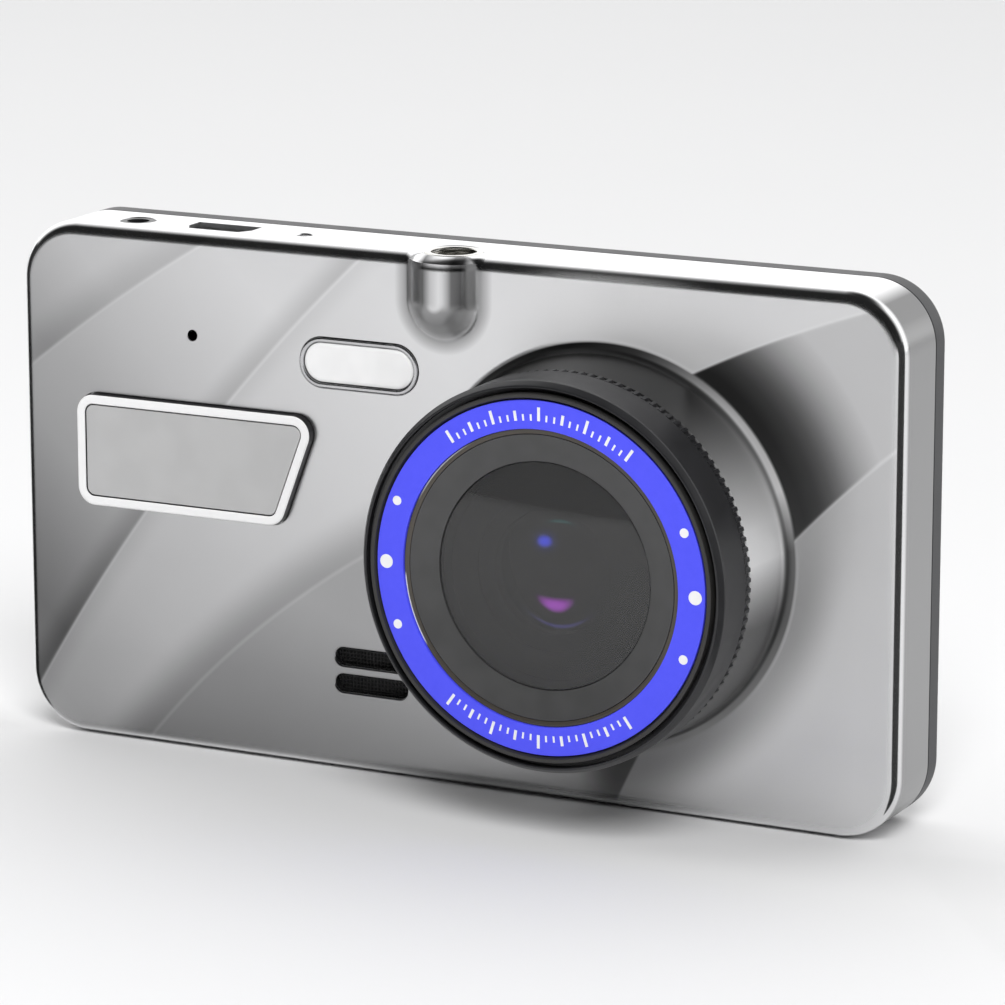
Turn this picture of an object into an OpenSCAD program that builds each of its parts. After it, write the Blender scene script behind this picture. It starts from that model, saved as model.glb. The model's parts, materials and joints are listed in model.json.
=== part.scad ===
// Dash camera: a flat metal-fronted case with a round lens turret in front, a screen and six keys behind,
// and its sockets in the top edge.
// Every sub-part is drawn in the case's own frame: x to the right as seen from the front, y inwards from
// the front face, z up from mid-height. placed() then carries it to the origin, which is the mouth of the
// bracket thread in the top edge.

/* [Case] */
// Width of the case
body_w = 110; // [108:0.5:140]
// Height of the case
body_h = 60.8; // [60:0.2:80]
// Radius of the case corners, seen from the front
corner_r = 7.2; // [6.6:0.2:9]
// Radius of the front cover's rounded front edge
edge_r = 1.6; // [0.8:0.1:2]
// Depth of the front cover's side walls
front_depth = 9; // [8.8:0.1:13]
// Depth of the rear shell
rear_depth = 3.6; // [3.4:0.1:6]
// Radius of the rear shell's rounded back edge
rear_edge_r = 1.4; // [0.6:0.1:1.6]
// Wall of the front cover
wall = 1.4; // [1:0.1:1.8]
// Wall of the rear shell behind the screen and keys
rear_wall = 1.2; // [1:0.1:1.4]

/* [Lens turret] */
// Distance of the lens axis from the side of the case
lens_inset = 35.2; // [30:0.2:40]
// Height of the lens axis above mid-height
lens_rise = -0.7; // [-3:0.1:3]
// Radius of the fixed lens tube
tube_r = 20.35; // [18:0.05:25]
// Wall of the fixed lens tube
tube_wall = 1.2; // [0.9:0.1:1.6]
// How far the metal boss stands in front of the face
boss_h = 8.5; // [6:0.1:11]
// Wall of the metal boss at its tip
boss_wall = 0.95; // [0.8:0.05:1.5]
// How far the boss spreads from its tip to its foot
boss_spread = 0.55; // [0:0.05:1]
// Radius of the concave blend at the boss's foot
boss_blend = 1.6; // [0.8:0.1:2]
// Length of the knurled focus ring
ring_len = 8; // [6.6:0.1:11]
// Thickness of the knurled focus ring
ring_wall = 1.3; // [1.2:0.05:2]
// Number of teeth on the focus ring
knurl_teeth = 120; // [60:2:160]
// Depth of the teeth on the focus ring
knurl_depth = 0.35; // [0.2:0.05:0.5]
// Turn of the focus ring to each side
focus_turn = 25; // [10:1:40]
// Radial width of the blue marking ring
mark_w = 3.15; // [2:0.05:4]
// Radius of the round cover glass
glass_r = 12.6; // [11:0.1:14]
// Radius of the lens barrel's head
head_r = 9.2; // [7.5:0.1:10]
// Radius of the lens barrel's thread
barrel_r = 6; // [5:0.1:7]

/* [Bracket thread] */
// Core radius of the bracket thread
thread_r = 2.55; // [2:0.05:3.2]
// Depth of the bracket thread
thread_len = 7; // [5:0.5:8]
// Distance of the thread's axis behind the front face
thread_y = 2.6; // [2:0.1:4]
// Wall of the bracket insert
insert_wall = 1.35; // [1:0.05:1.6]
// Metal around the bracket insert
insert_cover = 1.1; // [0.8:0.1:1.6]

/* [Front details] */
// Width of the badge along its top
badge_w = 32.6; // [24:0.5:34]
// Width of the badge along its bottom
badge_low_w = 27.7; // [22:0.5:34]
// Height of the badge
badge_h = 13.1; // [8:0.1:16]
// How far the badge stands proud
badge_proud = 1.1; // [0.4:0.1:1.6]
// Width of the badge's bright frame
badge_rim = 1.1; // [0.6:0.1:1.6]
// Length of the lamp window with its rim
lamp_w = 15; // [12:0.5:18]
// Height of the lamp window with its rim
lamp_h = 5.7; // [4:0.1:8]
// Width of the lamp window's rim
lamp_rim = 0.5; // [0.3:0.1:1]
// Radius of the reset hole
reset_r = 0.6; // [0.5:0.05:1]
// Length of each speaker slot
slot_w = 9.2; // [6:0.2:11]
// Height of each speaker slot
slot_h = 2; // [1:0.1:2.4]
// Distance between the two speaker slots
slot_pitch = 3.1; // [2.8:0.1:4]

/* [Sockets] */
// Depth of the sockets' axes behind the front face
port_y = 4.4; // [4:0.1:5]
// Radius of the camera jack's bore
jack_r = 1.3; // [1.2:0.05:1.8]
// Depth of the camera jack's bore
jack_len = 11; // [9:0.5:14]
// Width of the power socket's metal shell
usb_w = 7.7; // [6.8:0.1:8.4]
// Thickness of the power socket's metal shell, front to back
usb_h = 3.5; // [3:0.1:3.6]
// Width of the memory card
card_w = 11; // [10:0.5:15]
// Length of the memory card
card_len = 15; // [12:0.5:15]

/* [Screen and keys] */
// Width of the lit screen
screen_w = 88.6; // [80:0.2:89]
// Height of the lit screen
screen_h = 49.8; // [45:0.2:50]
// Width of each rear key
key_w = 5; // [3.5:0.1:5.2]
// Length of each rear key
key_len = 9; // [6:0.5:12]
// Distance between neighbouring keys
key_pitch = 15; // [13:0.5:16]
// How far the keys stand proud of the back
key_proud = 0.6; // [0.3:0.1:1.2]
// Travel of each key
key_travel = 0.4; // [0.2:0.05:0.5]

/* [Boards and screws] */
// Thickness of the main board
board_t = 1.2; // [0.8:0.1:1.4]
// Shank radius of the case screws
screw_r = 0.95; // [0.8:0.05:1.1]
// Head radius of the case screws
screw_head_r = 1.9; // [1.6:0.1:2]
// Shank radius of the board screws
board_screw_r = 0.75; // [0.6:0.05:0.9]

/* [Hidden] */
$fn = 96;

// Clearances: pieces that are glued, clipped or screwed together, pieces that run on each other,
// and pieces that only pass each other
seat = 0.05;
run = 0.05;
free = 0.3;
past = 1;

// Case
half_w = body_w / 2;
half_h = body_h / 2;
back_y = front_depth + rear_depth;
lip_depth = 1;
lip_t = 0.8;
post_r = 2.3;
post_inset = corner_r - 1.6;
posts = [for (sx = [-1, 1], sz = [-1, 1]) [sx * (half_w - post_inset), sz * (half_h - post_inset)]];
screw_head_t = 1;
screw_sink = 1.15;
screw_len = 7;

// Bracket thread
insert_r = thread_r + insert_wall;
insert_neck_r = thread_r + 0.75;
insert_neck = 1.4;
insert_floor = 1;
insert_len = thread_len + insert_floor;
thread_boss_r = insert_r + insert_cover;

// Lens turret; depths in front of the face are negative
lens_x = half_w - lens_inset;
lens_z = lens_rise;
turret_y = -boss_h - ring_len;
boss_tip_r = tube_r + boss_wall;
boss_foot_r = boss_tip_r + boss_spread;
tube_lip = 1;
tube_seat_y = wall - tube_lip;
tube_in_r = tube_r - tube_wall;
ring_r = tube_r + ring_wall;
ring_y0 = turret_y + 0.1;
ring_y1 = -boss_h - 0.15;
ring_groove = 0.55;
ring_groove_len = 1;
ring_chamfer = 0.75;
knurl_len = 1.5;
knurl_step = 0.08;
mark_r = tube_r - 0.77;
mark_in_r = mark_r - mark_w;
mark_t = 0.5;
mark_y = turret_y + 0.2;
web_y = mark_y + mark_t;
web_t = 1.2;
retain_w = 0.6;
retain_y = mark_y + 0.3;
retain_t = 1.4;
cone_r = mark_in_r - retain_w;
cone_y = retain_y + 0.1;
cone_depth = 0.9;
glass_y = cone_y + cone_depth + 0.1;
glass_t = 1;
glass_ledge = 0.8;
cone_back_y = glass_y + glass_t + 1.1;
baffle_y = glass_y + glass_t + 0.2;
baffle_t = 0.4;
head_y = baffle_y + baffle_t + free;
head_len = 5.2;
pin_r = 0.9;
pin_y = head_y + head_len / 2;
pin_r0 = head_r - 1.4;
pin_r1 = tube_r + ring_wall / 2;
slot_half_turn = focus_turn + 6;

// Inside the lens barrel
barrel_end_y = wall + 0.8;
element_r = head_r - 2.3;
element_sag = 2;
element_rim = 1;
element_y = head_y + 1.5;
bore_r = barrel_r - 1.4;
bore_y = element_y + element_rim;
stop_r = bore_r - 1.4;
stop_t = 1;
small_lens_t = 2.4;
small_lens_sag = 0.7;
middle_y = bore_y + 2;
rear_lens_y = barrel_end_y - stop_t - small_lens_t - seat;
spacer_y = middle_y + small_lens_t + seat;
spacer_wall = 0.9;

// Main board and what stands on its front
port_half = 1.8;
board_y = port_y + port_half;
board_back_y = board_y + board_t;
board_half_w = half_w - 9;
board_half_h = half_h - wall - free;
sensor_board_t = 1;
sensor_board_w = 24;
sensor_board_y = board_y - sensor_board_t - seat;
sensor_w = 7.5;
sensor_t = 1.1;
sensor_y = sensor_board_y - sensor_t;
holder_w = 17;
holder_len = 10.4;
holder_cavity = 10;
filter_w = 9;
filter_t = 0.3;
filter_y = barrel_end_y + 0.7;

// Features of the front face, placed from the nearest edge
badge_x = -half_w + 7.8;
badge_z = -2.5;
badge_r = 2.2;
badge_seat = 0.35;
badge_gap = 0.12;
badge_plate_sink = 0.15;
lamp_x = -half_w + 44.3;
lamp_z = half_h - 13.5;
lamp_flange = 0.9;
lamp_flange_t = 0.8;
lamp_board_t = 0.8;
lamp_board_y = wall + 2.2;
reset_x = -half_w + 22.8;
reset_z = half_h - 11.9;
reset_w = 3.6;
reset_body_t = 2.2;
reset_y = board_y - seat - reset_body_t;
plunger_r = 1;
plunger_sink = 1;
plunger_reach = 0.9;
speaker_x = -half_w + 45.6;
speaker_z = -half_h + 11.8;
speaker_r = 7.2;
speaker_t = 3.2;
gasket_t = 0.4;
mesh_t = 0.2;

// Features of the top edge
top_in = half_h - wall;
jack_x = -half_w + 13.3;
jack_collar_r = 2.05;
jack_w = 5.8;
jack_mouth = half_h - 0.1;
usb_x = -half_w + 24.4;
usb_shell_t = 0.35;
usb_len = 9.2;
usb_mouth = half_h - 0.6;
mic_x = -half_w + 35.1;
mic_hole_r = 0.95;
boot_r = 1.75;
boot_wall = 0.35;
boot_len = 3;

// Memory card in the side
card_z = -8;
card_t = 0.8;
card_y = board_y - 0.5 - card_t;
card_socket_wall = 0.4;
card_socket_x = -half_w + wall + 0.3;
card_x = -half_w + 0.4;

// Battery
battery_w = 18;
battery_len = 37;
battery_t = 4;
battery_x = -half_w + 17.5;
battery_z = -half_h + 5.4;

// Screen stack, counted from the back
window_border = 1.45;
window_w = screen_w + 2 * window_border;
window_h = screen_h + 2 * window_border;
window_t = 0.75;
window_r = 1.45;
window_ledge = 1.1;
lcd_t = 1.2;
lcd_w = screen_w + 4;
lcd_h = screen_h + 3.6;
lcd_y = back_y - rear_wall - seat - lcd_t;
backlight_t = 1.8;
backlight_y = lcd_y - seat - backlight_t;
flex_t = 0.15;
flex_w = 18;
flex_r = (lcd_y + seat - board_back_y - 0.2) / 2;

// Rear keys
key_flange = 0.3;
key_flange_t = 0.6;
key_board_t = 0.8;
key_board_w = 5.4;
key_board_len = 2 * key_pitch + 11;
key_board_x = half_w - wall - seat - lip_t - 0.15 - key_board_w / 2;
key_x = key_board_x - 0.1;
key_clear = 0.1;
flange_y = back_y - rear_wall - seat - key_flange_t;
stem_r = 1;
stem_y = flange_y - 0.75;
dome_r = 1.9;
dome_t = 0.35;
dome_y = stem_y - key_travel - seat - dome_t;
key_board_y = dome_y - key_board_t;

// Board screws and their posts
board_post_r = 1.8;
board_head_r = 1.4;
board_head_t = 0.65;
board_screw_len = 4;
board_posts = [
    [half_w - 13, half_h - 10.4],
    [half_w - 13, -half_h + 6.4],
    [-half_w + 13, -half_h + 6.4],
    [lamp_x - 1.8, half_h - 5.2]
];
notch_half_w = thread_boss_r + free + 0.3;
notch_z = half_h - insert_len - insert_cover - 1.2;

// ---------- helpers ----------

// Carries a piece from the case's own frame to the mouth of the bracket thread
module placed() {
    translate([0, -thread_y, -half_h]) children();
}

// Carries a piece to the lens axis
module at_lens() {
    translate([lens_x, 0, lens_z]) children();
}

// A solid of revolution about the lens axis: its outline is (radius, distance in front of the face)
module turned() {
    at_lens() rotate([90, 0, 0]) rotate_extrude() children();
}

// A plain ring about the lens axis between two depths
module ring(outer, inner, y0, y1) {
    turned() translate([inner, -y1]) square([outer - inner, y1 - y0]);
}

// A face outline (x, z) carried from depth y0 to depth y1
module deep(y0, y1) {
    translate([0, y1, 0]) rotate([90, 0, 0]) linear_extrude(y1 - y0) children();
}

// A round hole or pin along the depth
module deep_pin(x, z, r, y0, y1) {
    translate([x, y1, z]) rotate([90, 0, 0]) cylinder(r = r, h = y1 - y0);
}

// A box given by its middle (x, z), its size (w, h) and its two depths
module deep_box(x, z, w, h, y0, y1) {
    translate([x - w / 2, y0, z - h / 2]) cube([w, y1 - y0, h]);
}

// A rectangle with round corners
module round_rect(w, h, r) {
    square([w - 2 * r, h], center = true);
    square([w, h - 2 * r], center = true);
    for (sx = [-1, 1], sz = [-1, 1])
        translate([sx * (w / 2 - r), sz * (h / 2 - r)]) circle(r);
}

// A slot with round ends
module pill(w, h) {
    square([w - h, h], center = true);
    for (s = [-1, 1])
        translate([s * (w - h) / 2, 0]) circle(h / 2);
}

// Outline that runs at distance r round the given corner centres, listed anticlockwise
module rounded_outline(centres, r) {
    n = len(centres);
    function out(p, q) = r * [q[1] - p[1], p[0] - q[0]] / norm(q - p);
    polygon([for (i = [0:n - 1])
        let (p = centres[i], q = centres[(i + 1) % n], o = out(p, q)) each [p + o, q + o]]);
    for (p = centres)
        translate(p) circle(r);
}

// Half section of a slab's rim: reach inwards, depth d, rounded with radius e where it meets depth 0
module rim_profile(reach, e, d) {
    translate([0, e]) square([reach, d - e]);
    square([reach - e, d]);
    translate([reach - e, e]) circle(e);
}

// A slab standing on z = 0 with corners of radius r and its lower edge rounded with radius e
module soft_slab(w, h, r, e, d) {
    translate([-w / 2 + r, -h / 2 + r, 0]) cube([w - 2 * r, h - 2 * r, d]);
    for (side = [[0, w, h], [90, h, w]], turn = [0, 180])
        rotate(side[0] + turn) {
            translate([-side[1] / 2 + r, side[2] / 2 - r, 0])
                rotate([90, 0, 90]) linear_extrude(side[1] - 2 * r) rim_profile(r, e, d);
            translate([side[1] / 2 - r, side[2] / 2 - r, 0])
                rotate_extrude(angle = 90) rim_profile(r, e, d);
        }
}

// Biconvex lens about the lens axis between depths y0 and y0 + t, each face bulging by sag within them
module small_lens(r, t, sag, y0) {
    face_r = (r * r + sag * sag) / (2 * sag);
    turned() translate([0, -y0 - t]) intersection() {
        square([r, t]);
        translate([0, face_r]) circle(face_r, $fn = 720);
        translate([0, t - face_r]) circle(face_r, $fn = 720);
    }
}

// A thin wire along a route: a ring of eight points round each point of the route
module wire(route, r) {
    sides = 8;
    last = len(route) - 1;
    function along(i) = let (d = route[min(i + 1, last)] - route[max(i - 1, 0)]) d / norm(d);
    function side(i) = let (s = cross(along(i), [0.31, 0.05, 0.95])) s / norm(s);
    points = [for (i = [0:last], k = [0:sides - 1])
        let (a = 360 * k / sides, u = side(i), v = cross(along(i), u))
            route[i] + r * (cos(a) * u + sin(a) * v)];
    faces = concat(
        [[for (k = [sides - 1:-1:0]) k]],
        [for (i = [0:last - 1], k = [0:sides - 1]) let (a = i * sides + k, b = i * sides + (k + 1) % sides)
            each [[a, b, b + sides], [a, b + sides, a + sides]]],
        [[for (k = [0:sides - 1]) last * sides + k]]
    );
    polyhedron(points, faces, convexity = 4);
}

// A smooth route from a to b that leaves and arrives along the given pulls
function bend(a, pull_a, b, pull_b, n) = [for (i = [0:n]) let (t = i / n, s = 1 - t)
    s * s * s * a + 3 * s * s * t * (a + pull_a) + 3 * s * t * t * (b + pull_b) + t * t * t * b];

// ---------- case ----------

// Half-round boss that holds the bracket insert: rounded top edge, round lower end
module thread_boss() {
    low_z = half_h - insert_len + 2.75;
    translate([0, thread_y, 0]) {
        translate([0, 0, low_z]) rotate_extrude() {
            square([thread_boss_r, half_h - edge_r - low_z]);
            square([thread_boss_r - edge_r, half_h - low_z]);
            translate([thread_boss_r - edge_r, half_h - edge_r - low_z]) circle(edge_r);
        }
        translate([0, 0, low_z]) sphere(thread_boss_r);
    }
}

// Metal boss round the lens tube, blended into the face at its foot
module lens_boss() {
    turned() difference() {
        union() {
            polygon([[tube_r, 0], [boss_foot_r + boss_blend, 0], [boss_foot_r, boss_blend],
                [boss_tip_r, boss_h], [tube_r, boss_h]]);
            translate([tube_r, -wall]) square([boss_foot_r + boss_blend - tube_r, wall]);
        }
        translate([boss_foot_r + boss_blend, boss_blend]) circle(boss_blend);
    }
}

module power_socket_outline(grow) {
    w = usb_w / 2 + grow;
    h = usb_h / 2 + grow;
    polygon([[-w, h], [-w, -0.2 * h], [-w + 0.9, -h], [w - 0.9, -h], [w, -0.2 * h], [w, h]]);
}

module front_cover() {
    placed() color([0.74, 0.74, 0.75]) difference() {
        union() {
            difference() {
                rotate([-90, 0, 0]) soft_slab(body_w, body_h, corner_r, edge_r, front_depth);
                deep(wall, front_depth + past)
                    round_rect(body_w - 2 * wall, body_h - 2 * wall, corner_r - wall);
            }
            thread_boss();
            lens_boss();
            for (p = posts)
                deep_pin(p[0], p[1], post_r, wall / 2, front_depth - seat);
            for (p = board_posts)
                deep_pin(p[0], p[1], board_post_r, wall / 2, board_y - seat);
        }
        // lens tube, its seat and the way through to the sensor
        ring(tube_r + seat, 0, -boss_h - past, tube_seat_y);
        ring(tube_in_r, 0, -past, wall + past);
        // pocket of the bracket insert
        translate([0, thread_y, half_h]) {
            translate([0, 0, -insert_len - seat])
                cylinder(r = insert_r + seat, h = insert_len - insert_neck);
            translate([0, 0, -insert_neck - 2 * seat])
                cylinder(r = insert_neck_r + seat, h = insert_neck + past);
        }
        // front face
        translate([badge_x, 0, badge_z]) deep(-past, badge_seat + seat) badge_outline(seat);
        translate([lamp_x, 0, lamp_z])
            deep(-past, wall + past) pill(lamp_w + 2 * seat, lamp_h + 2 * seat);
        deep_pin(reset_x, reset_z, reset_r, -past, wall + past);
        for (s = [-1, 1])
            translate([speaker_x, 0, speaker_z + s * slot_pitch / 2])
                deep(-past, wall + past) pill(slot_w, slot_h);
        // top edge
        translate([jack_x, port_y, top_in - past])
            cylinder(r = jack_collar_r + seat, h = wall + 2 * past);
        translate([usb_x, port_y, top_in - past])
            linear_extrude(wall + 2 * past) power_socket_outline(0.25);
        translate([mic_x, port_y, top_in - past])
            cylinder(r = mic_hole_r, h = wall + 2 * past);
        // card slot in the side
        translate([-half_w - past, card_y - 0.35, card_z - card_w / 2 - 0.5])
            cube([wall + 2 * past, card_t + 0.7, card_w + 1]);
        // screw holes
        for (p = posts)
            deep_pin(p[0], p[1], screw_r + seat, back_y - screw_sink - screw_len - 1, front_depth + past);
        for (p = board_posts)
            deep_pin(p[0], p[1], board_screw_r + seat, wall, board_y + past);
    }
}

module rear_shell() {
    lip_out = wall + seat;
    lip_in = lip_out + lip_t;
    placed() color([0.06, 0.06, 0.065]) difference() {
        union() {
            difference() {
                union() {
                    translate([0, back_y, 0]) rotate([90, 0, 0])
                        soft_slab(body_w, body_h, corner_r, rear_edge_r, rear_depth);
                    deep(front_depth - lip_depth, front_depth + seat)
                        round_rect(body_w - 2 * lip_out, body_h - 2 * lip_out, corner_r - lip_out);
                }
                deep(front_depth - lip_depth - past, back_y - rear_wall)
                    round_rect(body_w - 2 * lip_in, body_h - 2 * lip_in, corner_r - lip_in);
                // room for the thread's boss and for the screen's ribbon
                deep_box(0, half_h - wall - lip_t, 2 * (thread_boss_r + free), 2 * lip_t,
                    front_depth - lip_depth - past, front_depth);
                deep_box(0, -half_h + wall + lip_t, flex_w + 2 * free, 2 * lip_t,
                    front_depth - lip_depth - past, back_y - rear_wall);
            }
            for (p = posts)
                deep_pin(p[0], p[1], post_r, front_depth, back_y - rear_wall / 2);
        }
        // window seat and the view through it
        deep(back_y - window_t - seat, back_y + past)
            round_rect(window_w + 2 * seat, window_h + 2 * seat, window_r + seat);
        deep(front_depth, back_y + past)
            round_rect(window_w - 2 * window_ledge, window_h - 2 * window_ledge, window_r / 2);
        for (s = [-1, 1], k = [-1:1])
            translate([s * key_x, 0, k * key_pitch]) deep(front_depth, back_y + past)
                rotate(90) pill(key_len + 2 * key_clear, key_w + 2 * key_clear);
        for (p = posts) {
            deep_pin(p[0], p[1], screw_r + 0.15, front_depth - past, back_y + past);
            deep_pin(p[0], p[1], screw_head_r + 0.1, back_y - screw_sink, back_y + past);
        }
    }
}

module bracket_insert() {
    placed() color([0.78, 0.78, 0.76]) translate([0, thread_y, half_h]) difference() {
        union() {
            translate([0, 0, -insert_len]) cylinder(r = insert_r, h = insert_len - insert_neck - 2 * seat);
            translate([0, 0, -insert_neck - past]) cylinder(r = insert_neck_r, h = insert_neck + past);
        }
        translate([0, 0, -thread_len]) cylinder(r = thread_r, h = thread_len + past);
    }
}

// Screw along the depth, its head towards the back, with a cross recess
module cross_screw(x, z, r, head_r, head_t, length, under_head_y) {
    top_y = under_head_y + head_t;
    recess_y = under_head_y + head_t * 0.45;
    difference() {
        union() {
            deep_pin(x, z, head_r, under_head_y, top_y);
            deep_pin(x, z, r, under_head_y - length, under_head_y + head_t / 2);
        }
        deep_box(x, z, head_r * 1.2, head_r * 0.28, recess_y, top_y + past);
        deep_box(x, z, head_r * 0.28, head_r * 1.2, recess_y, top_y + past);
    }
}

module case_screws() {
    placed() color([0.25, 0.25, 0.26])
        for (p = posts)
            cross_screw(p[0], p[1], screw_r, screw_head_r, screw_head_t, screw_len,
                back_y - screw_sink + seat);
}

// ---------- lens turret ----------

module lens_tube() {
    placed() color([0.1, 0.1, 0.1]) difference() {
        turned() difference() {
            union() {
                translate([tube_in_r, -tube_seat_y + seat])
                    square([tube_wall, -turret_y + tube_seat_y - seat]);
                translate([mark_in_r, -web_y - web_t]) square([tube_in_r - mark_in_r, web_t]);
            }
            translate([0, -web_y]) square([mark_r + seat, past]);
            polygon([
                [mark_r + seat, -web_y], [mark_r + 0.3, -turret_y + past / 10], [0, -turret_y + past / 10]
            ]);
        }
        // slot in which the focus pin swings
        at_lens() rotate([90, 0, 0]) rotate(90 - slot_half_turn) rotate_extrude(angle = 2 * slot_half_turn)
            translate([tube_in_r - past, -pin_y - pin_r - free])
                square([tube_wall + 2 * past, 2 * (pin_r + free)]);
    }
}

// Outline of the toothed band, one notch for each tooth
module knurl_outline() {
    step = 360 / knurl_teeth;
    tooth = [[0, knurl_depth], [0.3, knurl_depth], [0.45, 0], [0.85, 0]];
    polygon([for (i = [0:knurl_teeth - 1], t = tooth)
        let (a = (i + t[0]) * step, r = ring_r - knurl_step - t[1]) r * [cos(a), sin(a)]]);
}

module focus_ring() {
    knurl_y = ring_y1 - knurl_len;
    placed() color([0.07, 0.07, 0.075]) difference() {
        union() {
            turned() polygon([
                [tube_r + run, -knurl_y], [tube_r + run, -ring_y0 - ring_groove_len],
                [tube_r + ring_groove, -ring_y0 - ring_groove_len + 0.1], [tube_r + ring_groove, -ring_y0],
                [ring_r - ring_chamfer * 0.7, -ring_y0], [ring_r, -ring_y0 - ring_chamfer], [ring_r, -knurl_y]
            ]);
            at_lens() translate([0, ring_y1, 0]) rotate([90, 0, 0]) linear_extrude(knurl_len) difference() {
                knurl_outline();
                circle(tube_r + run);
            }
        }
        at_lens() translate([0, pin_y, 0]) cylinder(r = pin_r + seat, h = pin_r1 + seat);
    }
}

module focus_pin() {
    placed() color([0.7, 0.7, 0.7]) at_lens() translate([0, pin_y, pin_r0])
        cylinder(r = pin_r, h = pin_r1 - pin_r0);
}

module marking_ring() {
    placed() color([0.33, 0.35, 1]) ring(mark_r, mark_in_r, mark_y, web_y - seat);
}

module retaining_ring() {
    placed() color([0.3, 0.28, 0.26]) turned() polygon([
        [cone_r, -retain_y - 0.15], [cone_r, -retain_y - retain_t], [mark_in_r - seat, -retain_y - retain_t],
        [mark_in_r - seat, -retain_y]
    ]);
}

module lens_cone() {
    placed() color([0.22, 0.22, 0.22]) turned() polygon([
        [cone_r - seat, -cone_y], [cone_r - seat, -cone_back_y], [glass_r - glass_ledge, -cone_back_y],
        [glass_r - glass_ledge, -glass_y - glass_t - seat], [glass_r + seat, -glass_y - glass_t - seat],
        [glass_r + seat, -cone_y - cone_depth]
    ]);
}

module cover_glass() {
    placed() color([0.3, 0.3, 0.32, 0.4]) turned() polygon([
        [0, -glass_y], [glass_r - 0.15, -glass_y], [glass_r, -glass_y - 0.15], [glass_r, -glass_y - glass_t],
        [0, -glass_y - glass_t]
    ]);
}

module light_baffle() {
    placed() color([0.05, 0.05, 0.05])
        ring(glass_r - glass_ledge - seat, head_r - 0.5, baffle_y, baffle_y + baffle_t);
}

module lens_barrel() {
    placed() color([0.08, 0.08, 0.08]) difference() {
        turned() polygon([
            [element_r + seat, -head_y], [head_r - 0.4, -head_y], [head_r, -head_y - 0.4],
            [head_r, -head_y - head_len], [barrel_r, -head_y - head_len], [barrel_r, -barrel_end_y],
            [stop_r, -barrel_end_y], [stop_r, -barrel_end_y + stop_t],
            [bore_r + seat, -barrel_end_y + stop_t], [bore_r + seat, -bore_y - seat],
            [element_r + seat, -bore_y - seat]
        ]);
        at_lens() translate([0, pin_y, pin_r0 - seat]) cylinder(r = pin_r + seat, h = pin_r1);
    }
}

module front_element() {
    dome_r = (element_r * element_r + element_sag * element_sag) / (2 * element_sag);
    placed() color([0.2, 0.25, 0.5, 0.5]) at_lens() intersection() {
        translate([0, bore_y, 0]) rotate([90, 0, 0])
            cylinder(r = element_r, h = bore_y - element_y + element_sag);
        translate([0, element_y - element_sag + dome_r, 0]) sphere(dome_r);
    }
}

module middle_element() {
    placed() color([0.5, 0.2, 0.5, 0.5]) small_lens(bore_r, small_lens_t, small_lens_sag, middle_y);
}

module lens_spacer() {
    placed() color([0.12, 0.12, 0.12]) ring(bore_r, bore_r - spacer_wall, spacer_y, rear_lens_y - seat);
}

module rear_element() {
    placed() color([0.2, 0.5, 0.3, 0.5]) small_lens(bore_r, small_lens_t, small_lens_sag, rear_lens_y);
}

module lens_holder() {
    holder_y = sensor_board_y - seat - holder_len;
    placed() color([0.1, 0.1, 0.1]) difference() {
        union() {
            ring(barrel_r + 1.6, barrel_r + run, holder_y, sensor_board_y - seat - 3);
            at_lens() deep(sensor_board_y - seat - 4, sensor_board_y - seat)
                round_rect(holder_w, holder_w, 1.5);
        }
        ring(barrel_r + run, 0, holder_y - past, filter_y - 0.3);
        deep_box(lens_x, lens_z, holder_cavity, holder_cavity,
            filter_y - 0.3 - past / 10, sensor_board_y + past);
    }
}

module ir_filter() {
    placed() color([0.6, 0.3, 0.4, 0.5])
        deep_box(lens_x, lens_z, filter_w, filter_w, filter_y, filter_y + filter_t);
}

module image_sensor() {
    placed() color([0.15, 0.2, 0.2])
        deep_box(lens_x, lens_z, sensor_w, sensor_w - 1, sensor_y, sensor_board_y);
}

module sensor_board() {
    placed() color([0.05, 0.25, 0.12]) at_lens() deep(sensor_board_y, board_y - seat)
        round_rect(sensor_board_w, sensor_board_w, 1);
}

// ---------- front details ----------

// Badge outline from its lower left corner; grow widens it all round
module badge_outline(grow) {
    slope = (badge_w - badge_low_w) / badge_h;
    reach = badge_r * sqrt(1 + slope * slope);
    rounded_outline([
        [badge_r, badge_r],
        [badge_low_w + slope * badge_r - reach, badge_r],
        [badge_w - slope * badge_r - reach, badge_h - badge_r],
        [badge_r, badge_h - badge_r]
    ], badge_r + grow);
}

module badge_frame() {
    placed() color("white") translate([badge_x, 0, badge_z]) deep(-badge_proud, badge_seat) difference() {
        badge_outline(0);
        badge_outline(-badge_rim);
    }
}

module badge_plate() {
    placed() color([0.73, 0.73, 0.73]) translate([badge_x, 0, badge_z])
        deep(-badge_proud + badge_plate_sink, badge_seat) badge_outline(-badge_rim - badge_gap);
}

module lamp_rim_ring() {
    placed() color([0.6, 0.6, 0.6]) translate([lamp_x, 0, lamp_z]) deep(-0.2, wall) difference() {
        pill(lamp_w, lamp_h);
        pill(lamp_w - 2 * lamp_rim, lamp_h - 2 * lamp_rim);
    }
}

module lamp_window() {
    w = lamp_w - 2 * (lamp_rim + seat);
    h = lamp_h - 2 * (lamp_rim + seat);
    placed() color("white") translate([lamp_x, 0, lamp_z]) {
        deep(-0.1, wall + seat + lamp_flange_t / 2) pill(w, h);
        deep(wall + seat, wall + seat + lamp_flange_t) pill(w + 2 * lamp_flange, h + 2 * lamp_flange);
    }
}

module lamp_board() {
    placed() color([0.05, 0.25, 0.12]) translate([lamp_x, 0, lamp_z])
        deep(lamp_board_y, lamp_board_y + lamp_board_t) round_rect(lamp_w + 3, lamp_h + 1.8, 1);
}

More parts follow.
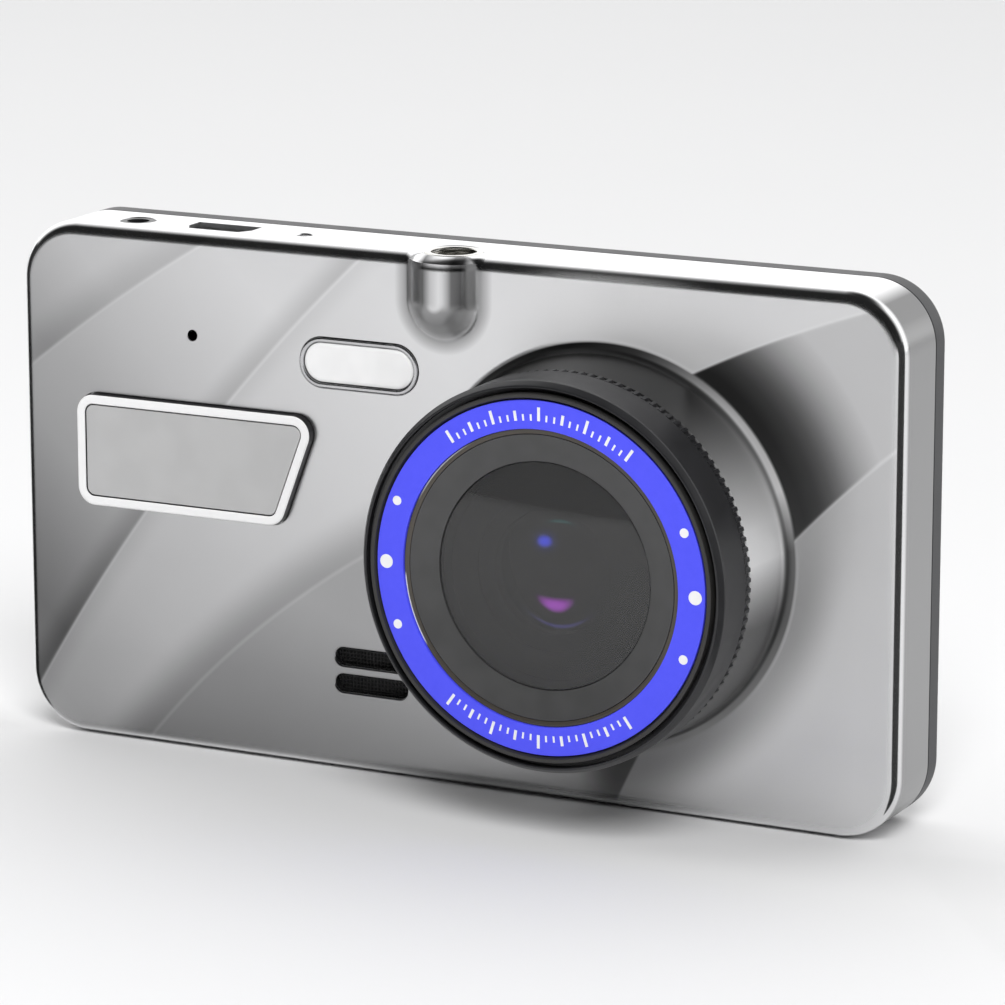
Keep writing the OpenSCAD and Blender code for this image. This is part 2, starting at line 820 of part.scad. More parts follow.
module lamp_leds() {
    led_w = 2.8;
    led_t = 0.7;
    placed() color([1, 0.95, 0.6])
        for (k = [-1:1])
            deep_box(lamp_x + k * lamp_w / 3.6, lamp_z, led_w, led_w * 0.8,
                lamp_board_y - led_t, lamp_board_y);
}

module speaker_mesh() {
    placed() color([0.04, 0.04, 0.04]) translate([speaker_x, 0, speaker_z])
        deep(wall + 0.02, wall + mesh_t) round_rect(slot_w + 1, slot_pitch + slot_h + 1, 1);
}

module speaker_gasket() {
    placed() color([0.1, 0.1, 0.1]) translate([speaker_x, 0, speaker_z])
        deep(wall + seat, wall + gasket_t) difference() {
            circle(speaker_r);
            circle(speaker_r - 0.8);
        }
}

module speaker() {
    basket_y = wall + gasket_t + seat;
    placed() color([0.35, 0.35, 0.36]) translate([speaker_x, basket_y, speaker_z]) rotate([-90, 0, 0])
        rotate_extrude() polygon([
            [0, 0.5], [2.2, 0.5], [speaker_r - 1.6, 0.9], [speaker_r - 0.9, 0], [speaker_r, 0],
            [speaker_r, 1.2], [speaker_r - 2, 2], [speaker_r - 2, speaker_t], [0, speaker_t]
        ]);
}

module speaker_lead() {
    start = [speaker_x + speaker_r - 3.2, wall + gasket_t + 2.6, speaker_z + 3.6];
    finish = [speaker_x + 6, board_y - 0.45, speaker_z + 11.5];
    placed() color([0.7, 0.1, 0.1])
        for (s = [0, 1])
            wire(bend(start + [s * 1.2, 0, 0.4], [1.6, 0, 1.2],
                finish + [s * 1.2, 0, 0], [0, -0.4, -3], 10), 0.35);
}

// ---------- sockets ----------

module mic_boot() {
    placed() color([0.12, 0.12, 0.12]) translate([mic_x, port_y, top_in - seat - boot_len]) difference() {
        cylinder(r = boot_r, h = boot_len);
        translate([0, 0, -past]) cylinder(r = boot_r - boot_wall, h = boot_len + past - 0.6);
        cylinder(r = mic_hole_r - 0.1, h = boot_len + past);
    }
}

module microphone() {
    placed() color([0.7, 0.7, 0.68]) translate([mic_x, port_y, top_in - seat - boot_len + 0.3])
        cylinder(r = boot_r - boot_wall - 0.02, h = boot_len - 1);
}

module usb_socket() {
    placed() color([0.7, 0.7, 0.7]) translate([usb_x, port_y, usb_mouth - usb_len]) difference() {
        linear_extrude(usb_len) power_socket_outline(0);
        translate([0, 0, 0.5]) linear_extrude(usb_len) power_socket_outline(-usb_shell_t);
    }
}

module usb_tongue() {
    tongue_w = usb_w - 3;
    placed() color([0.08, 0.08, 0.08]) translate([usb_x, port_y, usb_mouth - usb_len + 0.5 + seat]) {
        linear_extrude(1.6) power_socket_outline(-usb_shell_t - seat);
        translate([-tongue_w / 2, 0, 0]) cube([tongue_w, 0.8, usb_len - 1.6]);
        for (k = [-2:2])
            translate([k * 0.8 - 0.15, -0.12, 1.2]) cube([0.3, 0.3, usb_len - 3.2]);
    }
}

module av_jack() {
    placed() color([0.05, 0.05, 0.05]) translate([jack_x, port_y, 0]) difference() {
        union() {
            translate([-jack_w / 2, -port_half, jack_mouth - jack_len - 1])
                cube([jack_w, 2 * port_half - seat, top_in - seat - jack_mouth + jack_len + 1]);
            translate([0, 0, top_in - 2 * seat])
                cylinder(r = jack_collar_r, h = jack_mouth - top_in + 2 * seat);
        }
        translate([0, 0, jack_mouth - jack_len]) cylinder(r = jack_r, h = jack_len + past);
    }
}

module card_socket() {
    tunnel_w = card_w + 0.4;
    tunnel_y = card_y - 0.15;
    tunnel_t = card_t + 0.3;
    outer_w = tunnel_w + 2 * 1.2;
    placed() color([0.72, 0.72, 0.72]) difference() {
        translate([card_socket_x, tunnel_y - card_socket_wall, card_z - outer_w / 2])
            cube([card_len, board_y - seat - tunnel_y + card_socket_wall, outer_w]);
        translate([card_socket_x - past, tunnel_y, card_z - tunnel_w / 2])
            cube([card_x + card_len + 0.1 - card_socket_x + past, tunnel_t, tunnel_w]);
    }
}

module memory_card() {
    notch = 1.2;
    placed() color([0.08, 0.08, 0.09]) translate([card_x, card_y + card_t, card_z]) rotate([90, 0, 0])
        linear_extrude(card_t) polygon([
            [0, -card_w / 2], [card_len - notch, -card_w / 2], [card_len, -card_w / 2 + notch],
            [card_len, card_w / 2 - notch], [card_len / 2, card_w / 2 - notch],
            [card_len / 2 - notch, card_w / 2], [0, card_w / 2]
        ]);
}

// ---------- boards ----------

module reset_switch() {
    placed() color([0.75, 0.75, 0.72]) difference() {
        deep_box(reset_x, reset_z, reset_w, reset_w, reset_y, board_y - seat);
        deep_pin(reset_x, reset_z, plunger_r + run, reset_y - past, reset_y + plunger_sink + free);
    }
}

module reset_plunger() {
    placed() color([0.1, 0.1, 0.1])
        deep_pin(reset_x, reset_z, plunger_r, reset_y - plunger_reach, reset_y + plunger_sink);
}

module main_board() {
    placed() color([0.04, 0.22, 0.12]) difference() {
        deep(board_y, board_back_y) round_rect(2 * board_half_w, 2 * board_half_h, 1.5);
        deep_box(0, half_h, 2 * notch_half_w, 2 * (half_h - notch_z), board_y - past, board_back_y + past);
        for (p = board_posts)
            deep_pin(p[0], p[1], board_screw_r + 0.1, board_y - past, board_back_y + past);
    }
}

module processor() {
    placed() color([0.08, 0.08, 0.08])
        deep_box(lens_x - 27.8, lens_z + 0.7, 12, 12, board_y - 1.2, board_y - seat);
}

module memory_chip() {
    placed() color([0.09, 0.09, 0.1]) deep_box(half_w - 16, half_h - 20, 8, 10, board_y - 1, board_y - seat);
}

// Coil, motion sensor and a row of capacitors
module board_parts() {
    placed() color([0.35, 0.3, 0.25]) {
        deep_box(half_w - 15, lens_z - 8, 5, 5, board_y - 2.4, board_y - seat);
        deep_box(half_w - 16, lens_z + 1, 3, 3, board_y - 0.9, board_y - seat);
        for (k = [0:5])
            deep_box(half_w - 27 + k * 2, -half_h + 8, 1, 2, board_y - 0.9, board_y - seat);
    }
}

module board_screws() {
    placed() color([0.6, 0.6, 0.6])
        for (p = board_posts)
            cross_screw(p[0], p[1], board_screw_r, board_head_r, board_head_t, board_screw_len,
                board_back_y + seat);
}

module battery() {
    placed() color([0.75, 0.76, 0.78]) deep(wall + 0.2, wall + 0.2 + battery_t)
        translate([battery_x + battery_w / 2, battery_z + battery_len / 2])
            round_rect(battery_w, battery_len, 1.2);
}

module battery_lead() {
    start = [battery_x + 11, wall + 2.2, battery_z + battery_len];
    finish = [battery_x + 13, board_y - 0.45, battery_z + battery_len + 6];
    placed() color([0.7, 0.1, 0.1])
        for (s = [0, 1])
            wire(bend(start + [s * 1.1, 0, 0.1], [0, 0, 2.5],
                finish + [s * 1.1, 0, 0], [0, -0.4, -2.5], 10), 0.4);
}

// ---------- screen and keys ----------

module screen_window() {
    placed() color([0.02, 0.02, 0.025]) deep(back_y - window_t, back_y)
        round_rect(window_w, window_h, window_r);
}

module lcd_panel() {
    placed() color([0.1, 0.1, 0.12]) deep_box(0, 0, lcd_w, lcd_h, lcd_y, lcd_y + lcd_t);
}

module backlight() {
    placed() color([0.8, 0.8, 0.8]) deep_box(0, 0, lcd_w, lcd_h, backlight_y, backlight_y + backlight_t);
}

// Ribbon from the main board round the lower edge of the backlight to the panel
module lcd_flex() {
    loop_y = board_back_y + 0.2 + flex_r;
    loop_z = -lcd_h / 2 - 0.05;
    placed() color([0.75, 0.45, 0.1]) {
        translate([flex_w / 2, loop_y, loop_z]) rotate([0, -90, 0]) linear_extrude(flex_w) intersection() {
            difference() {
                circle(flex_r);
                circle(flex_r - flex_t);
            }
            translate([-2 * flex_r, -2 * flex_r]) square([2 * flex_r, 4 * flex_r]);
        }
        translate([-flex_w / 2, loop_y - flex_r, loop_z]) cube([flex_w, flex_t, 6]);
    }
}

module key_board(s) {
    placed() color([0.04, 0.22, 0.12]) translate([s * key_board_x, 0, 0])
        deep(key_board_y, key_board_y + key_board_t) round_rect(key_board_w, key_board_len, 0.8);
}

module key_domes() {
    placed() color([0.8, 0.8, 0.8])
        for (s = [-1, 1], k = [-1:1])
            deep_pin(s * key_x, k * key_pitch, dome_r, dome_y + 0.01, dome_y + dome_t);
}

// A rear key: cap through the shell, flange behind it, stem down to its dome
module key(s, k) {
    placed() color([0.1, 0.1, 0.105]) translate([s * key_x, 0, k * key_pitch]) {
        deep(flange_y + key_flange_t / 2, back_y + key_proud) rotate(90) pill(key_len, key_w);
        deep(flange_y, flange_y + key_flange_t)
            rotate(90) pill(key_len + 2 * key_flange, key_w + 2 * key_flange);
        deep_pin(0, 0, stem_r, stem_y, flange_y + key_flange_t / 2);
    }
}

front_cover();
rear_shell();
bracket_insert();
case_screws();
lens_tube();
focus_ring();
focus_pin();
marking_ring();
retaining_ring();
lens_cone();
cover_glass();
light_baffle();
lens_barrel();
front_element();
middle_element();
lens_spacer();
rear_element();
lens_holder();
ir_filter();
image_sensor();
sensor_board();
badge_frame();
badge_plate();
lamp_rim_ring();
lamp_window();
lamp_board();
lamp_leds();
speaker_mesh();
speaker_gasket();
speaker();
speaker_lead();
mic_boot();
microphone();
usb_socket();
usb_tongue();
av_jack();
card_socket();
memory_card();
reset_switch();
reset_plunger();
main_board();
processor();
memory_chip();
board_parts();
board_screws();
battery();
battery_lead();
screen_window();
lcd_panel();
backlight();
lcd_flex();
key_board(-1);  // key_board_left
key_board(1);  // key_board_right
key_domes();
key(-1, 1);  // power_button
key(-1, 0);  // menu_button
key(-1, -1);  // mode_button
key(1, 1);  // up_button
key(1, 0);  // record_button
key(1, -1);  // down_button
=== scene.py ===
import json
import math

import bmesh
import bpy
import numpy as np
from mathutils import Matrix, Vector

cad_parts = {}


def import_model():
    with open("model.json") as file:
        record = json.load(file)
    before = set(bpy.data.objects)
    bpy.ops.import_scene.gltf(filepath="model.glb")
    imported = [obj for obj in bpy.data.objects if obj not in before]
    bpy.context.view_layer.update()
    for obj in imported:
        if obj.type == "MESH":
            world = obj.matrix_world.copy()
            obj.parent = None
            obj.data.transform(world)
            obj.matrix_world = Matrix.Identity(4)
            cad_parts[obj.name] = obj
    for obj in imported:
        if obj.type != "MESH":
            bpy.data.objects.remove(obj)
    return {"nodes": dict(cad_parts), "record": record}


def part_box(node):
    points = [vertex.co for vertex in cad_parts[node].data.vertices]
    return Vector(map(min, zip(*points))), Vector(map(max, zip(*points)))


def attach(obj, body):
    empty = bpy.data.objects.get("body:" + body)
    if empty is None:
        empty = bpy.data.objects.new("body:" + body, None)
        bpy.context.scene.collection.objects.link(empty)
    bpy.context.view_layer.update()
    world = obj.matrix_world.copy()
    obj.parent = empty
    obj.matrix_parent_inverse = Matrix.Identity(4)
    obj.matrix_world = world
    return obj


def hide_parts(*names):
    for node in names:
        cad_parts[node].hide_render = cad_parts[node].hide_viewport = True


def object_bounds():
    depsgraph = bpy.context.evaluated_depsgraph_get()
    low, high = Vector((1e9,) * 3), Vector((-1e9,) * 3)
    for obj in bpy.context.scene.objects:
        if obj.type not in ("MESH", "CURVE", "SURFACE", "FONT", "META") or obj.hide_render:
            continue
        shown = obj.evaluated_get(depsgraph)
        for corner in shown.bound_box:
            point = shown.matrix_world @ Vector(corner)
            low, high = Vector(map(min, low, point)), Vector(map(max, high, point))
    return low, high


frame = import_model()
cad_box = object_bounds()
nodes = frame["nodes"]
slot_of = {s["node"]: s["material_slot"] for s in frame["record"]["subparts"]}
scene = bpy.context.scene
MM = 0.001

# ---------- places and sizes, in millimetres in the case's own frame ----------
# x to the right as seen from the front, y inwards from the front face, z up from mid-height

FRONT_DEPTH = 9.0
LIP_Y = 8.0
cover_lo, cover_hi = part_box("front_cover")
shell_lo, shell_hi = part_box("rear_shell")
FACE = Vector(((cover_lo.x + cover_hi.x) / 2, shell_lo.y - LIP_Y * MM, (cover_lo.z + cover_hi.z) / 2))


def local(point):
    return (Vector(point) - FACE) / MM


def spot(node):
    """Middle and size of a CAD node in the case's frame."""
    lo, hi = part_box(node)
    return local((lo + hi) / 2), (hi - lo) / MM


HALF_W = (cover_hi.x - cover_lo.x) / MM / 2
HALF_H = (cover_hi.z - cover_lo.z) / MM / 2
BACK = local(shell_hi).y
WALL = 1.4
CORNER = 7.2
LENS = spot("focus_ring")[0]
RING_R = spot("focus_ring")[1].x / 2
TURRET = local(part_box("lens_tube")[0]).y
TUBE_R = RING_R - 1.3
TOP = HALF_H
BADGE_FRONT = local(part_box("badge_frame")[0]).y
BOSS_TIP = TUBE_R + 0.95
BOSS_FOOT = BOSS_TIP + 0.55
BOSS_H = 8.5
BOSS_BLEND = 1.6
boss_mid = spot("bracket_insert")[0]
INSERT_R = spot("bracket_insert")[1].x / 2
INSERT_LEN = spot("bracket_insert")[1].z
BUMP_R = INSERT_R + 1.1
BUMP_BLEND = 1.2
BUMP_LOW = TOP - INSERT_LEN + 2.75
THREAD_Y = boss_mid.y

# ---------- mesh helpers ----------


def bend(n):
    """Angles at n places over a quarter circle."""
    return np.linspace(0, math.pi / 2, n)


def arcs_rect(w, h, r, x=0.0, z=0.0):
    return [(x + sx * (w / 2 - r), z + sz * (h / 2 - r), r, a, a + 90)
            for sx, sz, a in ((1, 1, 0), (-1, 1, 90), (-1, -1, 180), (1, -1, 270))]


def arcs_pill(w, h, x=0.0, z=0.0):
    if w >= h:
        reach = (w - h) / 2
        return [(x + reach, z, h / 2, -90, 90), (x - reach, z, h / 2, 90, 270)]
    reach = (h - w) / 2
    return [(x, z + reach, w / 2, 0, 180), (x, z - reach, w / 2, 180, 360)]


def outline(arcs, inset, steps):
    points = []
    for cx, cz, r, a0, a1 in arcs:
        for a in np.radians(np.linspace(a0, a1, steps + 1)):
            points.append((cx + (r - inset) * math.cos(a), cz + (r - inset) * math.sin(a)))
    return np.array(points)


def sweep(arcs, profile, steps=12, closed=False):
    """A solid whose edge follows an outline. The profile lists (inset, y) from the front."""
    rings = []
    for inset, y in profile:
        flat = outline(arcs, inset, steps)
        rings.append(np.c_[flat[:, 0], np.full(len(flat), y), flat[:, 1]])
    n = len(rings[0])
    m = len(rings)
    faces = []
    for i in range(m if closed else m - 1):
        a, b = i * n, (i + 1) % m * n
        faces += [(a + k, a + (k + 1) % n, b + (k + 1) % n, b + k) for k in range(n)]
    if not closed:
        faces += [tuple(range(n)), tuple(range((m - 1) * n, m * n))]
    return np.concatenate(rings), faces


def turn(profile, centre, axis="y", segments=192, a0=0.0, a1=360.0):
    """A closed profile of (radius, place along the axis) about y or z; a radius may vary round it."""
    whole = a1 - a0 >= 360
    count = segments if whole else segments + 1
    angles = np.radians(a0 + (a1 - a0) * np.arange(count) / segments)
    rings = []
    for r, h in profile:
        u, v = r * np.cos(angles), r * np.sin(angles)
        along = np.full(count, float(h))
        if axis == "y":
            rings.append(np.c_[centre[0] + u, along, centre[2] + v])
        else:
            rings.append(np.c_[centre[0] + u, centre[1] + v, along])
    m = len(rings)
    faces = []
    for i in range(m):
        a, b = i * count, (i + 1) % m * count
        last = count if whole else count - 1
        faces += [(a + k, a + (k + 1) % count, b + (k + 1) % count, b + k) for k in range(last)]
    if not whole:
        faces += [tuple(i * count for i in range(m)), tuple(i * count + count - 1 for i in range(m))]
    return np.concatenate(rings), faces


def block(x0, x1, y0, y1, z0, z1):
    verts = np.array([(x, y, z) for x in (x0, x1) for y in (y0, y1) for z in (z0, z1)], float)
    faces = [(0, 1, 3, 2), (4, 6, 7, 5), (0, 4, 5, 1), (2, 3, 7, 6), (0, 2, 6, 4), (1, 5, 7, 3)]
    return verts, faces


def prism(points, h0, h1, axis="y"):
    """An extruded polygon: points are (x, z) along y, or (x, y) along z."""
    points = np.asarray(points, float)
    n = len(points)
    rings = []
    for h in (h0, h1):
        along = np.full(n, float(h))
        rings.append(np.c_[points[:, 0], along, points[:, 1]] if axis == "y"
                     else np.c_[points[:, 0], points[:, 1], along])
    faces = [(k, (k + 1) % n, n + (k + 1) % n, n + k) for k in range(n)]
    return np.concatenate(rings), faces + [tuple(range(n)), tuple(range(n, 2 * n))]


def joined(parts):
    verts, faces, start = [], [], 0
    for v, f in parts:
        verts.append(v)
        faces += [tuple(start + i for i in face) for face in f]
        start += len(v)
    return np.concatenate(verts), faces


def arc(cx, cy, r, a0, a1, n):
    return [(cx + r * math.cos(a), cy + r * math.sin(a)) for a in np.radians(np.linspace(a0, a1, n + 1))]


def rounded_loop(points, n=5):
    """Rounds the corners of a closed profile; each point is (u, v, radius)."""
    out = []
    count = len(points)
    for i, (u, v, r) in enumerate(points):
        p = np.array((u, v))
        if r <= 0:
            out.append((u, v))
            continue
        a = np.array(points[i - 1][:2]) - p
        b = np.array(points[(i + 1) % count][:2]) - p
        a /= np.linalg.norm(a)
        b /= np.linalg.norm(b)
        half = math.acos(max(-1, min(1, a @ b))) / 2
        cut = r / math.tan(half)
        start, end = p + a * cut, p + b * cut
        middle = p + (a + b) / np.linalg.norm(a + b) * r / math.sin(half)
        t0 = math.atan2(*(start - middle)[::-1])
        t1 = math.atan2(*(end - middle)[::-1])
        t1 += 2 * math.pi if t1 - t0 < -math.pi else -2 * math.pi if t1 - t0 > math.pi else 0
        out += [(middle[0] + r * math.cos(t), middle[1] + r * math.sin(t))
                for t in np.linspace(t0, t1, n + 1)]
    return out


def raw_object(name, solid):
    verts, faces = solid
    mesh = bpy.data.meshes.new(name)
    placed = np.array(FACE) + np.asarray(verts) * MM
    mesh.from_pydata(placed.tolist(), [], faces)
    bm = bmesh.new()
    bm.from_mesh(mesh)
    bmesh.ops.remove_doubles(bm, verts=bm.verts, dist=1e-7)
    bmesh.ops.dissolve_degenerate(bm, edges=bm.edges, dist=1e-8)
    bmesh.ops.recalc_face_normals(bm, faces=bm.faces)
    bm.to_mesh(mesh)
    bm.free()
    o = bpy.data.objects.new(name, mesh)
    scene.collection.objects.link(o)
    return o


def combine(o, solid, operation):
    """Joins a solid to a piece or cuts it away."""
    other = raw_object(o.name + "_tool", solid)
    step = o.modifiers.new("combine", "BOOLEAN")
    step.operation = operation
    step.solver = "MANIFOLD"
    step.object = other
    mesh = bpy.data.meshes.new_from_object(o.evaluated_get(bpy.context.evaluated_depsgraph_get()))
    o.modifiers.clear()
    o.data = mesh
    bpy.data.objects.remove(other)
    return o


def dress(o, slot, body="case", stands_for=(), sharp=32, weighted=True, look=None):
    mesh = o.data
    mesh.materials.clear()
    mesh.materials.append(look or finishes[slot])
    mesh.shade_smooth()
    mesh.set_sharp_from_angle(angle=math.radians(sharp))
    if weighted:
        fair = o.modifiers.new("fair", "WEIGHTED_NORMAL")
        fair.keep_sharp = True
        fair.weight = 60
    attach(o, body)
    if stands_for:
        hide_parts(*stands_for)
    return o


def piece(name, solid, slot, *args, **more):
    return dress(raw_object(name, solid), slot, *args, **more)


# ---------- material helpers ----------

NOISE_ROUGH = 0.55
DISPLAY_WHITE, DISPLAY_GAMMA = 255.0, 2.2


class Graph:
    """Short ways to add shader nodes."""

    def __init__(self, name):
        self.mat = bpy.data.materials.new(name)
        self.mat.use_nodes = True
        self.tree = self.mat.node_tree
        self.bsdf = self.tree.nodes["Principled BSDF"]

    def feed(self, socket, value):
        if isinstance(value, bpy.types.NodeSocket):
            self.tree.links.new(value, socket)
        elif isinstance(value, (tuple, list)) and len(value) == 3 and socket.type == "RGBA":
            socket.default_value = (*value, 1)
        else:
            socket.default_value = value

    def node(self, kind, **settings):
        n = self.tree.nodes.new(kind)
        for key, value in settings.items():
            setattr(n, key, value)
        return n

    def math(self, operation, *values, clamp=False):
        n = self.node("ShaderNodeMath", operation=operation, use_clamp=clamp)
        for socket, value in zip(n.inputs, values):
            self.feed(socket, value)
        return n.outputs[0]

    def vec(self, operation, *values):
        n = self.node("ShaderNodeVectorMath", operation=operation)
        for socket, value in zip(n.inputs, values):
            self.feed(socket, value)
        return n.outputs["Value"] if operation == "DISTANCE" else n.outputs[0]

    def ramp(self, value, a, b, c=0.0, d=1.0, kind="SMOOTHSTEP"):
        """Carries value from a..b to c..d."""
        n = self.node("ShaderNodeMapRange", interpolation_type=kind)
        for socket, v in zip(n.inputs, (value, a, b, c, d)):
            self.feed(socket, v)
        return n.outputs[0]

    def mix(self, factor, a, b):
        n = self.node("ShaderNodeMix", data_type="RGBA")
        self.feed(n.inputs[0], factor)
        self.feed(n.inputs[6], a)
        self.feed(n.inputs[7], b)
        return n.outputs[2]

    def blend(self, factor, a, b):
        """The same for plain numbers."""
        n = self.node("ShaderNodeMix", data_type="FLOAT")
        self.feed(n.inputs[0], factor)
        self.feed(n.inputs[2], a)
        self.feed(n.inputs[3], b)
        return n.outputs[0]

    def coords(self):
        """Object coordinates in the case's millimetres, as a vector and as x, y, z."""
        p = self.vec("SUBTRACT", self.node("ShaderNodeTexCoord").outputs["Object"], tuple(FACE))
        scale = self.node("ShaderNodeVectorMath", operation="SCALE")
        self.feed(scale.inputs[0], p)
        scale.inputs["Scale"].default_value = 1 / MM
        split = self.node("ShaderNodeSeparateXYZ")
        self.feed(split.inputs[0], scale.outputs[0])
        return scale.outputs[0], split.outputs[0], split.outputs[1], split.outputs[2]

    def noise(self, vector, scale, detail=3.0):
        n = self.node("ShaderNodeTexNoise")
        self.feed(n.inputs["Vector"], vector)
        n.inputs["Scale"].default_value = scale
        n.inputs["Detail"].default_value = detail
        n.inputs["Roughness"].default_value = NOISE_ROUGH
        return n.outputs[0]

    def bump(self, height, depth_mm):
        n = self.node("ShaderNodeBump")
        n.inputs["Strength"].default_value = 1.0
        n.inputs["Distance"].default_value = depth_mm * MM
        self.feed(n.inputs["Height"], height)
        return n.outputs["Normal"]

    def set(self, **values):
        names = {"base": "Base Color", "metal": "Metallic", "rough": "Roughness", "normal": "Normal",
                 "ior": "IOR", "spec": "Specular IOR Level", "alpha": "Alpha",
                 "glow": "Emission Color", "glow_power": "Emission Strength"}
        for key, value in values.items():
            self.feed(self.bsdf.inputs[names[key]], value)
        return self.mat


def finish(name, colour, rough, metal=0.0, vary=0.08, grain=3.0, bump=0.001, fine=6.0):
    """A slightly uneven finish: cloudy colour, wandering roughness and a fine raised grain."""
    swing = 0.03
    g = Graph(name)
    p = g.coords()[0]
    cloud = g.noise(p, 1 / grain, 1.0)
    specks = g.noise(p, fine, 1.0)
    dark = tuple(c * (1 - vary) for c in colour)
    light = tuple(min(1.0, c * (1 + vary)) for c in colour)
    base = g.mix(g.ramp(cloud, 0.3, 0.7), dark, light)
    return g.set(base=base, metal=metal, rough=g.ramp(cloud, 0.3, 0.7, rough - swing, rough + swing),
                 normal=g.bump(specks, bump))


# ---------- materials ----------


def case_metal():
    """Bright satin silver with painted reflection across its front: broad diagonal sweeps of light and dark,
    plus painted shade and highlight on the bump, the lens boss and the sides.
    """
    g = Graph("case_metal")
    p, x, y, z = g.coords()
    flat = g.node("ShaderNodeCombineXYZ")
    g.feed(flat.inputs[0], x)
    g.feed(flat.inputs[2], z)
    on_face = flat.outputs[0]
    plain_tone = 0.62
    face_rough, edge_rough = 0.28, 0.15

    def linear(level):
        """Light of a display level from 0 to 255."""
        return g.math("POWER", g.math("DIVIDE", level, DISPLAY_WHITE), DISPLAY_GAMMA)

    def side_of(points):
        """Signed distance to the circle through three points, positive to the upper left."""
        (ax, az), (bx, bz), (cx, cz) = points
        sa, sb, sc = ax**2 + az**2, bx**2 + bz**2, cx**2 + cz**2
        d = 2 * (ax * (bz - cz) + bx * (cz - az) + cx * (az - bz))
        ux = (sa * (bz - cz) + sb * (cz - az) + sc * (az - bz)) / d
        uz = (sa * (cx - bx) + sb * (ax - cx) + sc * (bx - ax)) / d
        r = math.hypot(ax - ux, az - uz)
        distance = g.math("SUBTRACT", g.vec("DISTANCE", on_face, (ux, 0, uz)), r)
        left, top = -60, 60
        return distance if math.hypot(left - ux, top - uz) > r else g.math("MULTIPLY", distance, -1.0)

    def curve(value, points):
        """Broken line through (value, result) points."""
        total = points[0][1]
        for (v0, t0), (v1, t1) in zip(points, points[1:]):
            total = g.math("ADD", g.ramp(value, v0, v1, 0.0, t1 - t0, "LINEAR"), total)
        return total

    def painted_shade(distance, reach, depth):
        """Painted shade next to a sweep line that fades out over reach."""
        return g.ramp(distance, 0.0, reach, -depth, 0.0)

    # painted reflection: five sweep lines part the front into bands of painted light and dark
    sweep_a = side_of([(-53.6, 13.4), (-40, 23.3), (-30.5, 29.3)])
    sweep_b = side_of([(-53.3, -24.5), (-39.1, -3.2), (-10.3, 29.3)])
    sweep_c = side_of([(-38, -29), (-20, -11.8), (-10.4, -5.1)])
    sweep_d = side_of([(30.8, 19.9), (42, 25), (48, 27.3)])
    sweep_e = side_of([(43.3, 3.3), (50.5, 10.3), (54, 13.3)])
    below_b = g.math("MULTIPLY", sweep_b, -1.0)
    along = g.math("ADD", x, z)
    radius = g.vec("DISTANCE", on_face, (LENS.x, 0, LENS.z))

    corner = g.math("ADD", curve(along, [(-36, 156), (-20, 192), (-6, 206)]), painted_shade(sweep_a, 5.0, 22))
    band_ab = g.math("ADD", curve(along, [(-68, 103), (-46, 152), (-34, 166), (-22, 186), (0, 213)]),
                     painted_shade(sweep_b, 3.5, 26))
    band_bc = g.math("ADD", curve(along, [(-76, 136), (-54, 168), (-30, 188), (18, 217)]),
                     painted_shade(sweep_c, 6.0, 42))
    band_bc = g.math("ADD", band_bc, painted_shade(below_b, 3.0, 10))
    slope = g.math("ADD", g.math("MULTIPLY", x, 0.8), g.math("MULTIPLY", z, 2.0))
    low_left = curve(slope, [(-88, 112), (-62, 132), (-36, 156)])
    # painted reflection tone below the lens, with painted shade darkening it next to the lens boss
    low_right = g.math("ADD", curve(x, [(18, 130), (26, 148), (42, 178), (50, 187)]),
                       painted_shade(g.math("SUBTRACT", radius, 24), 5.0, 34))
    low_tone = g.blend(g.ramp(x, 12, 26), low_left, low_right)
    left_tone = g.blend(g.ramp(sweep_c, -0.2, 0.2), low_tone, band_bc)
    left_tone = g.blend(g.ramp(sweep_b, -0.2, 0.2), left_tone, band_ab)
    left_tone = g.blend(g.ramp(sweep_a, -0.2, 0.2), left_tone, corner)
    # painted shade: a dark wedge beside the lens boss, lightening away from it
    wedge_shade = curve(radius, [(24.5, 42), (26.6, 64), (28.2, 90), (29.6, 116), (31, 142),
                           (32.6, 164), (35, 188)])
    right_tone = g.blend(g.ramp(sweep_d, -0.2, 0.2), wedge_shade, 210.0)
    right_tone = g.blend(g.ramp(sweep_e, -0.2, 0.2), low_tone, right_tone)
    shown = g.blend(g.ramp(x, 16, 22), left_tone, right_tone)
    on_left, on_right = g.ramp(x, 16, 22, 1.0, 0.0), g.ramp(x, 24, 30)
    # thin painted highlights along the sweep lines
    lines = ((sweep_a, 10.0, on_left), (sweep_b, 14.0, on_left), (sweep_c, 12.0, on_left),
             (sweep_d, 8.0, on_right), (sweep_e, 16.0, on_right))
    for distance, strength, where in lines:
        line = g.ramp(g.math("ABSOLUTE", distance), 0.0, 0.4, strength, 0.0)
        shown = g.math("ADD", shown, g.math("MULTIPLY", line, where))
    tone = linear(shown)

